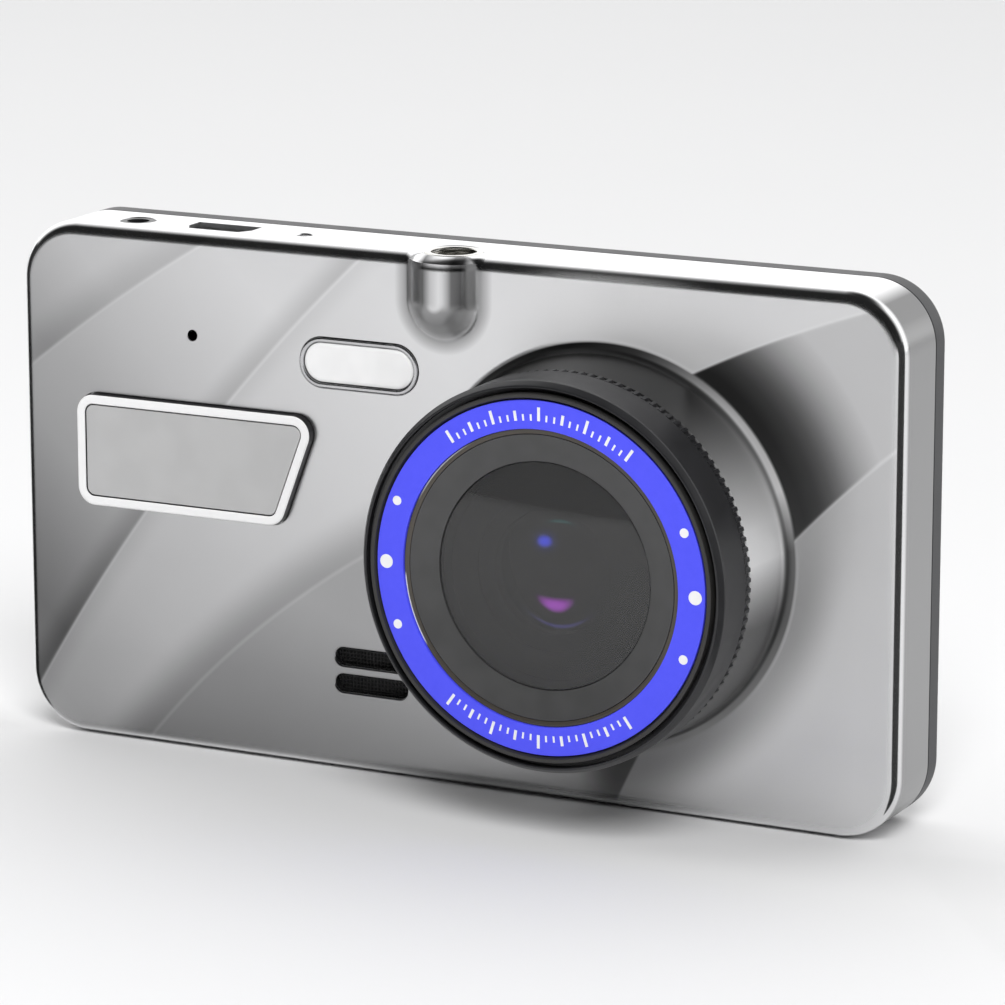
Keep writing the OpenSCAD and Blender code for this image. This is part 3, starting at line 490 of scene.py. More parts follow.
    # painted shade and highlight on the bracket bump: a soft dark rim round it, and on the bump a bright
    # painted stripe with dark painted sides and a painted shade below
    below = g.math("MINIMUM", g.math("SUBTRACT", z, BUMP_LOW), 0.0)
    spine = g.math("SQRT", g.math("ADD", g.math("MULTIPLY", x, x), g.math("MULTIPLY", below, below)))
    rim = curve(spine, [(3.6, 0.3), (4.6, 0.46), (5.4, 0.72), (6.1, 1.0)])
    painted_bump_stripe = curve(x, [(-2.5, 1.2), (-1.9, 0.7), (-1.5, 0.22), (-1.0, 0.42), (-0.4, 0.75), (0.2, 0.9),
                       (0.6, 1.0), (1.0, 0.9), (1.5, 0.6), (2.0, 0.2), (2.9, 0.16), (3.2, 0.44)])
    low_shade = curve(spine, [(0.5, 0.9), (1.1, 0.4), (2.4, 0.35), (3.4, 0.55), (4.1, 0.9)])
    on_low = g.ramp(z, BUMP_LOW - 0.9, BUMP_LOW + 0.3, 1.0, 0.0)
    on_edge = g.ramp(spine, 3.1, 3.6)
    raised = g.math("MULTIPLY", g.ramp(y, -0.02, -0.2), g.ramp(spine, 7.0, 6.0))
    painted_bump_shading = g.blend(on_low, g.blend(on_edge, painted_bump_stripe, 0.44), low_shade)
    # apply the painted rim shade, and make the painted tone lighter towards the bottom of the face
    tone = g.math("MULTIPLY", g.math("MULTIPLY", tone, rim),
                  curve(z, [(-29, 1.25), (-20, 1.03), (-8, 0.93), (29, 0.88)]))

    # painted light and shade on the lens boss and the blend at its foot, by the angle round the lens: dark on
    # top, lit on the right
    angle = g.math("DEGREES", g.math("ARCTAN2", g.math("SUBTRACT", z, LENS.z), g.math("SUBTRACT", x, LENS.x)))
    painted_wall_light = curve(angle, [(-170, 60), (-60, 84), (-15, 86), (-5, 140), (5, 200), (15, 190), (25, 158),
                         (40, 104), (60, 40), (90, 18), (170, 40)])
    foot = curve(angle, [(-170, 100), (-60, 120), (-30, 88), (-15, 70), (5, 74), (12, 120), (22, 180),
                         (45, 160), (60, 120), (80, 50), (100, 24), (170, 60)])
    boss = g.blend(g.ramp(radius, BOSS_FOOT + 0.1, BOSS_FOOT + 0.5), painted_wall_light, foot)
    # painted shade: a dark groove line at the boss's foot
    groove = g.ramp(g.math("ABSOLUTE", g.math("SUBTRACT", radius, BOSS_FOOT + 0.3)), 0.0, 0.3, 0.6, 1.0)
    boss = linear(g.math("MULTIPLY", boss, groove))
    on_boss = g.math("MULTIPLY", g.ramp(radius, 25.0, 24.0), g.ramp(y, -0.01, -0.12))

    on_front = g.ramp(y, 0.05, 0.5, 1.0, 0.0)

    # painted shade on the side walls, darker round the corners towards the ends
    past_corner = g.math("SUBTRACT", g.math("ABSOLUTE", x), HALF_W - CORNER)
    around = g.math("MINIMUM", g.math("DIVIDE", past_corner, CORNER), 1.0)
    side = curve(around, [(0.0, plain_tone), (0.35, plain_tone), (0.6, 0.12), (0.85, 0.14), (1.0, 0.245)])
    plain = g.blend(g.ramp(y, 1.0, 1.6), plain_tone, side)
    bump_tone = g.math("MULTIPLY", painted_bump_shading, plain_tone)
    plain = g.blend(raised, plain, bump_tone)
    tone = g.blend(on_front, plain, tone)
    tone = g.blend(raised, tone, bump_tone)
    tone = g.blend(on_boss, tone, boss)

    # less metallic where a mirror image of the lens would hide the tone
    near_lens = g.math("MULTIPLY", g.ramp(radius, 33.0, 25.0), g.ramp(x, 6.0, 16.0))
    beside = g.math("MULTIPLY", near_lens, on_front)
    satin = g.math("MAXIMUM", g.math("MULTIPLY", beside, 0.8), g.math("MULTIPLY", on_boss, 0.75))
    bump_satin = g.math("MULTIPLY", raised, g.math("MAXIMUM", g.math("MULTIPLY", on_low, 0.7),
                                                   g.math("MULTIPLY", on_edge, 0.5)))
    satin = g.math("MAXIMUM", satin, bump_satin)
    cloud = g.noise(p, 0.1, 1.0)
    tone = g.math("MULTIPLY", tone, g.ramp(cloud, 0.0, 1.0, 0.98, 1.02, "LINEAR"))
    grey = g.node("ShaderNodeCombineColor")
    for socket, gain in zip(grey.inputs, (1.25, 1.25, 1.26)):
        g.feed(socket, g.math("MULTIPLY", tone, gain, clamp=True))
    polished = g.math("MULTIPLY", g.ramp(y, 0.02, 0.2), g.ramp(y, 1.8, 1.5))
    rough = g.math("SUBTRACT", face_rough, g.math("MULTIPLY", polished, face_rough - edge_rough))
    return g.set(base=grey.outputs[0], metal=g.math("SUBTRACT", 1.0, satin), rough=rough)


def ring_blue():
    g = Graph("ring_blue")
    p = g.coords()[0]
    cloud = g.noise(p, 1.2)
    base = g.mix(cloud, (0.075, 0.085, 0.95), (0.095, 0.105, 1.0))
    return g.set(base=base, rough=g.ramp(cloud, 0.3, 0.7, 0.3, 0.38), normal=g.bump(g.noise(p, 14.0), 0.001),
                 spec=0.3)


def ring_bronze():
    """Dark bronze ring with a painted highlight along its lip on the left side."""
    g = Graph("ring_bronze")
    p, x, _, z = g.coords()
    cloud = g.noise(p, 0.3, 1.0)
    base = g.mix(cloud, (0.078, 0.069, 0.057), (0.092, 0.081, 0.067))
    u, w = g.math("SUBTRACT", x, LENS.x), g.math("SUBTRACT", z, LENS.z)
    radius = g.math("SQRT", g.math("ADD", g.math("MULTIPLY", u, u), g.math("MULTIPLY", w, w)))
    angle = g.math("DEGREES", g.math("ARCTAN2", w, g.math("MULTIPLY", u, -1.0)))
    # painted highlight: white arcs on the lip at the lower and upper left
    lower = g.math("MULTIPLY", g.ramp(angle, -34.0, -30.0), g.ramp(angle, -3.0, -6.0))
    upper = g.math("MULTIPLY", g.ramp(angle, 24.0, 34.0, 0.0, 0.5), g.ramp(angle, 62.0, 50.0))
    painted_lip_highlight = g.math("MULTIPLY", g.math("MAXIMUM", lower, upper), g.ramp(radius, 16.2, 16.28))
    base = g.mix(painted_lip_highlight, base, (0.86, 0.86, 0.86))
    return g.set(base=base, metal=0.4, rough=g.ramp(cloud, 0.0, 1.0, 0.31, 0.36, "LINEAR"))


def badge_white():
    """White on the rim's front face, near black on its side walls behind it."""
    g = Graph("badge_white")
    p, _, y, _ = g.coords()
    cloud = g.noise(p, 0.4, 1.0)
    white = g.mix(cloud, (0.93, 0.93, 0.93), (0.96, 0.96, 0.96))
    base = g.mix(g.ramp(y, BADGE_FRONT + 0.10, BADGE_FRONT + 0.16), white, (0.035, 0.035, 0.037))
    return g.set(base=base, rough=g.ramp(cloud, 0.3, 0.7, 0.3, 0.36),
                 normal=g.bump(g.noise(p, 5.0, 1.0), 0.0006))


def knit(name, colour, pitch):
    """Fine woven mesh."""
    g = Graph(name)
    _, x, _, z = g.coords()
    u = g.math("SINE", g.math("MULTIPLY", x, 2 * math.pi / pitch))
    v = g.math("SINE", g.math("MULTIPLY", z, 2 * math.pi / pitch))
    weave = g.math("MAXIMUM", u, v)
    base = g.mix(g.ramp(weave, 0.0, 1.0), tuple(c * 0.3 for c in colour), colour)
    return g.set(base=base, rough=0.6, metal=0.3, normal=g.bump(weave, 0.06))


def coated_glass(name, tint, glow, painted_glints):
    """Dark coated glass with small painted glints: coloured patches of reflection that glow, each (x, z,
    reach x, reach z, bend, colour).
    """
    g = Graph(name)
    p, x, _, z = g.coords()
    colour = g.mix(g.noise(p, 0.4), tuple(c * 0.9 for c in tint), tint)
    light = (0.0, 0.0, 0.0)
    for sx, sz, wx, wz, bend, hue in painted_glints:
        across = g.math("SUBTRACT", x, LENS.x + sx)
        u = g.math("DIVIDE", across, wx)
        rise = g.math("MULTIPLY", g.math("MULTIPLY", across, across), bend)
        v = g.math("DIVIDE", g.math("SUBTRACT", g.math("SUBTRACT", z, LENS.z + sz), rise), wz)
        d = g.math("SQRT", g.math("ADD", g.math("MULTIPLY", u, u), g.math("MULTIPLY", v, v)))
        light = g.mix(g.ramp(d, 1.0, 0.2), light, hue)
    return g.set(base=colour, rough=0.04, spec=0.5, glow=light, glow_power=glow)


def screen_glass():
    """Black window with a slightly bluer display area behind it."""
    g = Graph("window_black")
    p, x, _, z = g.coords()
    shown_x, shown_z, soft = 44.2, 24.8, 0.2
    inside = g.math("MINIMUM", g.ramp(g.math("ABSOLUTE", x), shown_x, shown_x + soft, 1.0, 0.0),
                    g.ramp(g.math("ABSOLUTE", z), shown_z, shown_z + soft, 1.0, 0.0))
    base = g.mix(inside, (0.006, 0.006, 0.007), (0.014, 0.015, 0.021))
    smear = g.noise(p, 0.08, 5.0)
    return g.set(base=base, rough=g.ramp(smear, 0.35, 0.75, 0.03, 0.12), normal=g.bump(smear, 0.002),
                 spec=0.5)


def clear_glass():
    """Pane that is mostly a painted grey veil, standing in for its reflection, over the elements behind it.
    """
    g = Graph("glass_clear")
    p = g.coords()[0]
    tint = g.mix(g.noise(p, 0.15, 0.0), (0.052, 0.052, 0.052), (0.058, 0.058, 0.058))
    return g.set(base=tint, rough=0.05, alpha=0.62, ior=1.5)


finishes = {
    "case_metal": case_metal(),
    "rear_plastic": finish("rear_plastic", (0.028, 0.028, 0.031), 0.5, vary=0.2, grain=4, bump=0.02, fine=7),
    "plated_steel": finish("plated_steel", (0.66, 0.65, 0.62), 0.24, 1.0, grain=2, bump=0.002),
    "black_steel": finish("black_steel", (0.05, 0.05, 0.055), 0.35, 0.7, grain=1, bump=0.003),
    "ring_black": finish("ring_black", (0.022, 0.022, 0.024), 0.34, 0.2, grain=3, bump=0.003, fine=10),
    "tube_black": finish("tube_black", (0.03, 0.029, 0.028), 0.42, grain=3, bump=0.0008, fine=2),
    "ring_blue": ring_blue(),
    "ring_bronze": ring_bronze(),
    "cone_grey": finish("cone_grey", (0.06, 0.06, 0.06), 0.45, grain=3, bump=0.0008, fine=2),
    "glass_clear": clear_glass(),
    # painted glints: glowing blue and magenta reflections on the front element
    "glass_blue": coated_glass("glass_blue", (0.02, 0.021, 0.028), 3.8,
                               [(-0.9, 3.4, 2.0, 1.5, 0.0, (0.02, 0.025, 0.12)),
                                (-0.9, 3.4, 1.2, 0.8, 0.0, (0.05, 0.07, 0.9)),
                                (0.4, -3.6, 2.6, 1.1, 0.14, (0.42, 0.06, 0.6)),
                                (0.2, -6.2, 5.0, 0.35, 0.1, (0.04, 0.035, 0.16)),
                                (0.6, 5.6, 2.2, 0.25, -0.1, (0.01, 0.07, 0.07))]),
    "glass_magenta": coated_glass("glass_magenta", (0.03, 0.02, 0.03), 0.0, []),
    "glass_green": coated_glass("glass_green", (0.02, 0.03, 0.025), 0.0, []),
    "filter_glass": coated_glass("filter_glass", (0.10, 0.03, 0.05), 0.0, []),
    "sensor_chip": finish("sensor_chip", (0.04, 0.06, 0.055), 0.12, 0.3),
    "board_green": finish("board_green", (0.012, 0.10, 0.045), 0.3, vary=0.25, grain=0.8, bump=0.01, fine=3),
    "chip_black": finish("chip_black", (0.03, 0.03, 0.032), 0.55, bump=0.01, fine=9),
    "part_grey": finish("part_grey", (0.16, 0.13, 0.10), 0.5, vary=0.3, grain=0.7),
    "badge_white": badge_white(),
    "badge_grey": finish("badge_grey", (0.52, 0.52, 0.52), 0.42, 0.1, vary=0.03, grain=5, bump=0.003),
    "lamp_rim": finish("lamp_rim", (0.55, 0.55, 0.56), 0.22, 1.0, vary=0.05, bump=0.001),
    "lamp_white": finish("lamp_white", (0.96, 0.96, 0.96), 0.22, vary=0.02, grain=3, bump=0.002),
    "led_yellow": finish("led_yellow", (0.85, 0.68, 0.12), 0.3),
    "mesh_black": knit("mesh_black", (0.05, 0.05, 0.05), 0.45),
    "foam_black": finish("foam_black", (0.025, 0.025, 0.025), 0.9, vary=0.4, grain=0.3, bump=0.05, fine=4),
    "speaker_metal": finish("speaker_metal", (0.35, 0.35, 0.36), 0.35, 0.9),
    "wire_red": finish("wire_red", (0.42, 0.02, 0.015), 0.4),
    "mic_rubber": finish("mic_rubber", (0.03, 0.03, 0.03), 0.8, bump=0.01),
    "mic_metal": finish("mic_metal", (0.62, 0.62, 0.6), 0.3, 1.0),
    "socket_metal": finish("socket_metal", (0.55, 0.55, 0.55), 0.3, 1.0, vary=0.15, grain=1.2, bump=0.004),
    "socket_black": finish("socket_black", (0.016, 0.016, 0.017), 0.35, bump=0.004),
    "card_black": finish("card_black", (0.03, 0.03, 0.033), 0.45, bump=0.004),
    "cell_foil": finish("cell_foil", (0.6, 0.61, 0.63), 0.32, 0.9, vary=0.1, bump=0.03, fine=1.5),
    "window_black": screen_glass(),
    "lcd_glass": finish("lcd_glass", (0.03, 0.032, 0.04), 0.15),
    "backlight_metal": finish("backlight_metal", (0.62, 0.62, 0.62), 0.3, 0.9),
    "flex_amber": finish("flex_amber", (0.5, 0.2, 0.03), 0.3, vary=0.2),
    "dome_metal": finish("dome_metal", (0.6, 0.6, 0.6), 0.25, 1.0),
    "key_black": finish("key_black", (0.03, 0.03, 0.032), 0.28, vary=0.1, bump=0.002),
}
mark_white = finish("mark_white", (0.92, 0.92, 0.93), 0.4, vary=0.02, grain=2, bump=0.001)

for node, o in nodes.items():
    for s in o.material_slots:
        s.material = finishes[slot_of[node]]

# ---------- case ----------

EDGE = 1.6


def quarter(radius, n, inset0=0.0, y0=0.0):
    """Profile of a rounded front edge, from the face outwards to the side."""
    return [(inset0 + radius * (1 - math.sin(a)), y0 + radius * (1 - math.cos(a)))
            for a in bend(n + 1)]


def back_quarter(radius, n, y1):
    return [(inset, y1 - y) for inset, y in reversed(quarter(radius, n))]


def bump_profile(inset):
    """Half of the bump's section: out over the half round, round the concave blend, and on to the face."""
    reach = math.sqrt((BUMP_R + BUMP_BLEND) ** 2 - (THREAD_Y + BUMP_BLEND) ** 2)
    turn_at = math.asin(reach / (BUMP_R + BUMP_BLEND))
    points = [((BUMP_R - inset) * math.sin(a), THREAD_Y - (BUMP_R - inset) * math.cos(a))
              for a in np.linspace(0, turn_at, 25)]
    r = BUMP_BLEND + inset
    points += [(reach - r * math.sin(a), -BUMP_BLEND + r * math.cos(a))
               for a in np.linspace(turn_at, 0, 17)[1:]]
    points[-1] = (points[-1][0], points[-1][1] + 0.012)
    return points + [(reach + 0.4, inset + 0.02), (reach + 0.4, THREAD_Y), (0.0, THREAD_Y)]


def bump_solid():
    """The bracket bump: straight sides, a rounded top edge and a half-round lower end."""
    verts, rows = [], []
    heights = [(BUMP_LOW, 0.0), (TOP - EDGE, 0.0)]
    heights += [(TOP - EDGE + EDGE * math.sin(t), EDGE * (1 - math.cos(t)))
                for t in bend(13)[1:]]
    for z, inset in heights:
        half = bump_profile(inset)
        loop = [(-x, y) for x, y in half[-2:0:-1]] + half
        rows.append((len(verts), len(loop)))
        verts += [(x, y, z - (0.001 if z > TOP - 0.001 else 0)) for x, y in loop]
    n = rows[0][1]
    faces = []
    for (a, _), (b, _) in zip(rows, rows[1:]):
        faces += [(a + k, a + (k + 1) % n, b + (k + 1) % n, b + k) for k in range(n)]
    faces.append(tuple(range(rows[-1][0], rows[-1][0] + n)))
    half = bump_profile(0.0)
    m = len(half)
    start = len(verts)
    steps = 48
    for i in range(steps + 1):
        a = math.pi + math.pi * i / steps
        verts += [(x * math.cos(a), y, BUMP_LOW + x * math.sin(a)) for x, y in half]
    for i in range(steps):
        a, b = start + i * m, start + (i + 1) * m
        faces += [(a + k, a + k + 1, b + k + 1, b + k) for k in range(m - 1)]
    return np.array(verts), faces


def cover_solid():
    outer = quarter(EDGE, 12) + [(0, 4), (0, FRONT_DEPTH - 0.15), (0.15, FRONT_DEPTH)]
    return sweep(arcs_rect(2 * HALF_W, 2 * HALF_H, CORNER),
                 outer + [(WALL, FRONT_DEPTH), (WALL, WALL)], 24)


def boss_profile():
    """Section of the lens boss, from the concave blend at its foot to its rounded tip."""
    foot = [(BOSS_FOOT + BOSS_BLEND - BOSS_BLEND * math.sin(a), -BOSS_BLEND + BOSS_BLEND * math.cos(a))
            for a in np.linspace(0, math.radians(87), 13)]
    foot[0] = (foot[0][0] + 0.1, 0.01)
    tip = rounded_loop([(BOSS_TIP, -BOSS_H, 0.22), (TUBE_R + 0.05, -BOSS_H, 0.12), (TUBE_R + 0.05, WALL, 0),
                        (BOSS_FOOT + BOSS_BLEND + 0.1, WALL, 0), (foot[0][0], foot[0][1], 0)], 4)
    return foot[1:] + tip


POST_IN = CORNER - 1.6
POST_R, POST_BORE, POST_FLOOR = 2.3, 1.0, 3.45
BOARD_POST_R, BOARD_POST_BORE, BOARD_POST_TOP, BOARD_POST_FLOOR = 1.8, 0.8, 6.15, 1.4
POST_FOOT = 0.7
FIT = 0.05
BEYOND = 12
posts = [(sx * (HALF_W - POST_IN), sz * (HALF_H - POST_IN)) for sx in (-1, 1) for sz in (-1, 1)]
board_x, board_low = HALF_W - 13, 6.4 - HALF_H
board_posts = [(board_x, HALF_H - 10.4), (board_x, board_low), (-board_x, board_low),
               (42.5 - HALF_W, HALF_H - 5.2)]

badge_mid, badge_size = spot("badge_frame")
lamp_mid, lamp_size = spot("lamp_rim_ring")
reset_mid = spot("reset_plunger")[0]
mesh_mid = spot("speaker_mesh")[0]
jack_mid = spot("av_jack")[0]
usb_mid, usb_size = spot("usb_socket")
mic_mid = spot("microphone")[0]
card_mid, card_size = spot("memory_card")
SLOT_W, SLOT_H, SLOT_PITCH = 9.2, 2.0, 3.1


def badge_arcs(grow=0.0):
    """Badge outline, wider at its top; the same four corners as the CAD piece."""
    width, low, height, r = badge_size.x, badge_size.x - 4.9, badge_size.z, 2.2
    x0, z0 = badge_mid.x - width / 2, badge_mid.z - height / 2
    slope = (width - low) / height
    reach = r * math.sqrt(1 + slope * slope)
    lean = math.degrees(math.atan(slope))
    centres = [(x0 + low + slope * r - reach, z0 + r, -90, -lean),
               (x0 + width - slope * r - reach, z0 + height - r, -lean, 90),
               (x0 + r, z0 + height - r, 90, 180), (x0 + r, z0 + r, 180, 270)]
    return [(cx, cz, r + grow, a0, a1) for cx, cz, a0, a1 in centres]


def plug(arcs, y0, y1, lip=0.15, steps=12):
    """Cutter for a hole in the front face whose mouth is slightly rounded."""
    flare = [(-lip * (1 - math.sin(a)), y0 + lip * (1 - math.cos(a)))
             for a in bend(5)]
    return sweep(arcs, [(-lip, y0 - 1)] + flare + [(0, y1)], steps)


def socket_outline(grow):
    w, h = usb_size.x / 2 + grow, usb_size.y / 2 + grow
    return [(-w, h), (-w, -0.2 * h), (-w + 0.9, -h), (w - 0.9, -h), (w, -0.2 * h), (w, h)]


def moved(points, dx, dy):
    return [(x + dx, y + dy) for x, y in points]


def bore(x, y, r, z0, z1, lip=0.2):
    """Vertical cutter through the top edge with a slightly rounded mouth."""
    mouth = [(r + lip * (1 - math.cos(a)), TOP - lip + lip * math.sin(a))
             for a in bend(5)]
    return turn([(0, z0), (r, z0)] + mouth + [(r + lip, z1), (0, z1)], (x, y, 0), "z", 96)


def front_cover():
    o = raw_object("cover_metal", cover_solid())
    combine(o, bump_solid(), "UNION")
    combine(o, turn(boss_profile(), LENS, "y", 256), "UNION")
    inner = [turn([(0, FRONT_DEPTH - FIT), (POST_R, FRONT_DEPTH - FIT), (POST_R, POST_FOOT), (0, POST_FOOT)],
                  (x, 0, z), "y", 40) for x, z in posts]
    inner += [turn([(0, BOARD_POST_TOP), (BOARD_POST_R, BOARD_POST_TOP), (BOARD_POST_R, POST_FOOT),
                    (0, POST_FOOT)], (x, 0, z), "y", 40) for x, z in board_posts]
    core_r = BUMP_R - 0.06
    inner.append(turn(arc(0, BUMP_LOW, core_r, -90, 0, 16) + [(core_r, TOP - 0.7), (0, TOP - 0.7)],
                      (0, THREAD_Y, 0), "z", 96))
    for solid in inner:
        combine(o, solid, "UNION")
    tube_hole, tube_bore, hole_depth = TUBE_R + FIT, TUBE_R - 1.2, 3
    insert_end, insert_r = TOP - INSERT_LEN - FIT, INSERT_R + FIT
    neck, mouth = INSERT_R - 0.55, INSERT_R - 0.3
    lamp_hole = arcs_pill(lamp_size.x + 0.1, lamp_size.z + 0.1, lamp_mid.x, lamp_mid.z)
    slot_x = -HALF_W + WALL + 1
    slot_y, slot_z = card_size.y / 2 + 0.35, card_size.z / 2 + 0.5
    cuts = [
        turn([(0, -BEYOND), (tube_hole, -BEYOND), (tube_hole, 0.4), (tube_bore, 0.4), (tube_bore, hole_depth),
              (0, hole_depth)], LENS, "y", 256),
        turn([(0, insert_end), (insert_r, insert_end), (insert_r, TOP - 1.45), (neck, TOP - 1.45),
              (neck, TOP - 0.25), (mouth, TOP), (mouth, TOP + 1), (0, TOP + 1)], (0, THREAD_Y, 0), "z", 128),
        plug(badge_arcs(FIT), 0, 0.4, 0.1),
        plug(lamp_hole, 0, hole_depth, 0.12, 24),
        plug([(reset_mid.x, reset_mid.z, 0.6, 0, 360)], 0, hole_depth, 0.12, 48),
        prism(moved(socket_outline(0.25), usb_mid.x, usb_mid.y), TOP - hole_depth, TOP + 2, "z"),
        bore(jack_mid.x, jack_mid.y, 2.1, TOP - hole_depth, TOP + 2),
        bore(mic_mid.x, mic_mid.y, 0.95, TOP - hole_depth, TOP + 2),
        block(-HALF_W - 1, slot_x, card_mid.y - slot_y, card_mid.y + slot_y,
              card_mid.z - slot_z, card_mid.z + slot_z),
    ]
    cuts += [plug(arcs_pill(SLOT_W, SLOT_H, mesh_mid.x, mesh_mid.z + s * SLOT_PITCH / 2),
                  0, hole_depth, 0.3, 16) for s in (-1, 1)]
    cuts += [turn([(0, floor_y), (r, floor_y), (r, BEYOND), (0, BEYOND)], (x, 0, z), "y", 32)
             for places, r, floor_y in ((posts, POST_BORE, POST_FLOOR),
                                        (board_posts, BOARD_POST_BORE, BOARD_POST_FLOOR))
             for x, z in places]
    combine(o, joined(cuts), "DIFFERENCE")
    return dress(o, "case_metal", stands_for=["front_cover"], sharp=40)


front_cover()

# ---------- rear shell, screen and keys ----------

REAR_EDGE = 1.4
KEY_W, KEY_LEN = 5.0, 9.0
key_nodes = [k + "_button" for k in ("power", "menu", "mode", "up", "record", "down")]
window_size = spot("screen_window")[1]


def back_plug(arcs, y0, lip=0.12, steps=12):
    """Cutter for a hole in the back whose mouth is slightly rounded."""
    flare = [(-lip * (1 - math.sin(a)), BACK - lip * (1 - math.cos(a)))
             for a in bend(4)]
    return sweep(arcs, [(-lip, BACK + 1)] + flare + [(0, y0)], steps)


def rear_shell():
    outer = [(0.12, FRONT_DEPTH), (0, FRONT_DEPTH + 0.12)] + back_quarter(REAR_EDGE, 10, BACK)
    lip = [(2.25, BACK - 1.2), (2.25, LIP_Y), (1.45, LIP_Y), (1.45, FRONT_DEPTH)]
    o = raw_object("rear_case", sweep(arcs_rect(2 * HALF_W, 2 * HALF_H, CORNER), lip + outer, 24))
    for x, z in posts:
        combine(o, turn([(0, FRONT_DEPTH), (POST_R, FRONT_DEPTH), (POST_R, BACK - 0.6), (0, BACK - 0.6)],
                        (x, 0, z), "y", 40), "UNION")
    cuts = [back_plug(arcs_rect(window_size.x + 0.1, window_size.z + 0.1, 1.5), BACK - window_size.y - FIT),
            sweep(arcs_rect(window_size.x - 2.2, window_size.z - 2.2, 0.7),
                  [(0, FRONT_DEPTH), (0, BACK - 0.5)]),
            block(-5.3, 5.3, LIP_Y - 1, FRONT_DEPTH, HALF_H - 3, HALF_H - WALL),
            block(-9.3, 9.3, LIP_Y - 1, BACK - 1.2, WALL - HALF_H, 3 - HALF_H)]
    for node in key_nodes:
        m = spot(node)[0]
        cuts.append(back_plug(arcs_pill(KEY_W + 0.2, KEY_LEN + 0.2, m.x, m.z), FRONT_DEPTH, 0.2, 20))
    for x, z in posts:
        cuts.append(back_plug([(x, z, 2.0, 0, 360)], BACK - 1.15, 0.15, 48))
    for solid in cuts:
        combine(o, solid, "DIFFERENCE")
    for x, z in posts:
        combine(o, turn([(0, LIP_Y), (1.1, LIP_Y), (1.1, BACK + 1), (0, BACK + 1)], (x, 0, z), "y", 40),
                "DIFFERENCE")
    return dress(o, "rear_plastic", stands_for=["rear_shell"], sharp=40)


rear_shell()

window_edge = [(0.0, BACK - window_size.y), (0.0, BACK - 0.18)] + back_quarter(0.16, 3, BACK)
piece("screen_glass", sweep(arcs_rect(window_size.x, window_size.z, 1.45), window_edge, 10), "window_black",
      stands_for=["screen_window"])


def glyph(kind, x, z, top):
    """Small printed signs on the keys, as flat solids standing a hair above the cap."""
    y0, y1 = top - 0.12, top - 0.001
    if kind == "power_button":
        loop = turn([(1.0, y0), (1.0, y1), (0.78, y1), (0.78, y0)], (x, 0, z), "y", 40, 125, 415)
        return joined([loop, block(x - 0.11, x + 0.11, y0, y1, z + 0.15, z + 1.2)])
    if kind == "menu_button":
        return joined([block(x - 0.9, x + 0.9, y0, y1, z + k * 0.6 - 0.11, z + k * 0.6 + 0.11)
                       for k in (-1, 0, 1)])
    if kind == "mode_button":
        return sweep(arcs_rect(1.9, 1.5, 0.25, x, z), [(0, y0), (0, y1), (0.22, y1), (0.22, y0)], 6, True)
    if kind == "record_button":
        return turn([(0, y0), (0.75, y0), (0.75, y1), (0, y1)], (x, 0, z), "y", 40)
    s = 1 if kind == "up_button" else -1
    return prism([(x - 0.95, z - s * 0.55), (x + 0.95, z - s * 0.55), (x, z + s * 0.85)], y0, y1)


for node in key_nodes:
    body = node.replace("_button", "_key")
    m = spot(node)[0]
    lo, hi = (local(v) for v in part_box(node))
    flange = sweep(arcs_pill(KEY_W + 0.6, KEY_LEN + 0.6, m.x, m.z), [(0, BACK - 1.85), (0, BACK - 1.25)], 20)
    edge, rise = 0.32, 0.26
    cap = [(0.0, BACK - 1.5), (0.0, hi.y - edge)]
    cap += [(edge * (1 - math.cos(a)), hi.y - edge + rise * math.sin(a))
            for a in np.linspace(0.2, math.pi / 2, 6)]
    cap += [(0.9, hi.y - 0.05), (1.5, hi.y - 0.045), (2.1, hi.y - 0.04)]
    o = raw_object(node.replace("_button", "_cap"), sweep(arcs_pill(KEY_W, KEY_LEN, m.x, m.z), cap, 20))
    combine(o, flange, "UNION")
    combine(o, turn([(0, lo.y), (0.85, lo.y), (1.0, lo.y + 0.15), (1.0, BACK - 1.5), (0, BACK - 1.5)],
                    (m.x, 0, m.z), "y", 40), "UNION")
    dress(o, "key_black", body, [node])
    piece(node.replace("_button", "_sign"), glyph(node, m.x, m.z, hi.y), "badge_white", body, look=mark_white)

# ---------- lens turret ----------

ring_lo, ring_hi = (local(v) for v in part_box("focus_ring"))


def focus_ring():
    teeth, per = 120, 8
    seg = teeth * per
    phase = (np.arange(seg) % per) / per
    notch = np.interp(phase, [0, 0.25, 0.38, 0.75, 0.9, 1.0], [0.35, 0.35, 0.0, 0.0, 0.35, 0.35])
    band = RING_R - 0.08 - notch
    shallow = RING_R - 0.08 - np.maximum(notch, 0.18)
    y0, y1 = ring_lo.y, ring_hi.y
    seat, mouth, groove = TUBE_R + FIT, TUBE_R + 0.55, RING_R - 0.46
    rows = [(seat, y1), (seat, y0 + 1.0), (mouth, y0 + 0.9), (mouth, y0 + 0.06), (TUBE_R + 0.61, y0)]
    rows += rounded_loop([(TUBE_R + 0.7, y0, 0), (RING_R - 0.52, y0, 0.25), (RING_R, y0 + 0.75, 0.5),
                          (RING_R, y0 + 3, 0)], 6)[1:-1]
    rows += [(RING_R, y1 - 1.75), (RING_R - 0.03, y1 - 1.66), (groove, y1 - 1.62), (groove, y1 - 1.5),
             (shallow, y1 - 1.5), (band, y1 - 1.38), (band, y1 - 0.12), (shallow, y1)]
    return turn(rows, LENS, "y", seg)


piece("knurled_ring", focus_ring(), "ring_black", "focus_group", ["focus_ring"], 28)


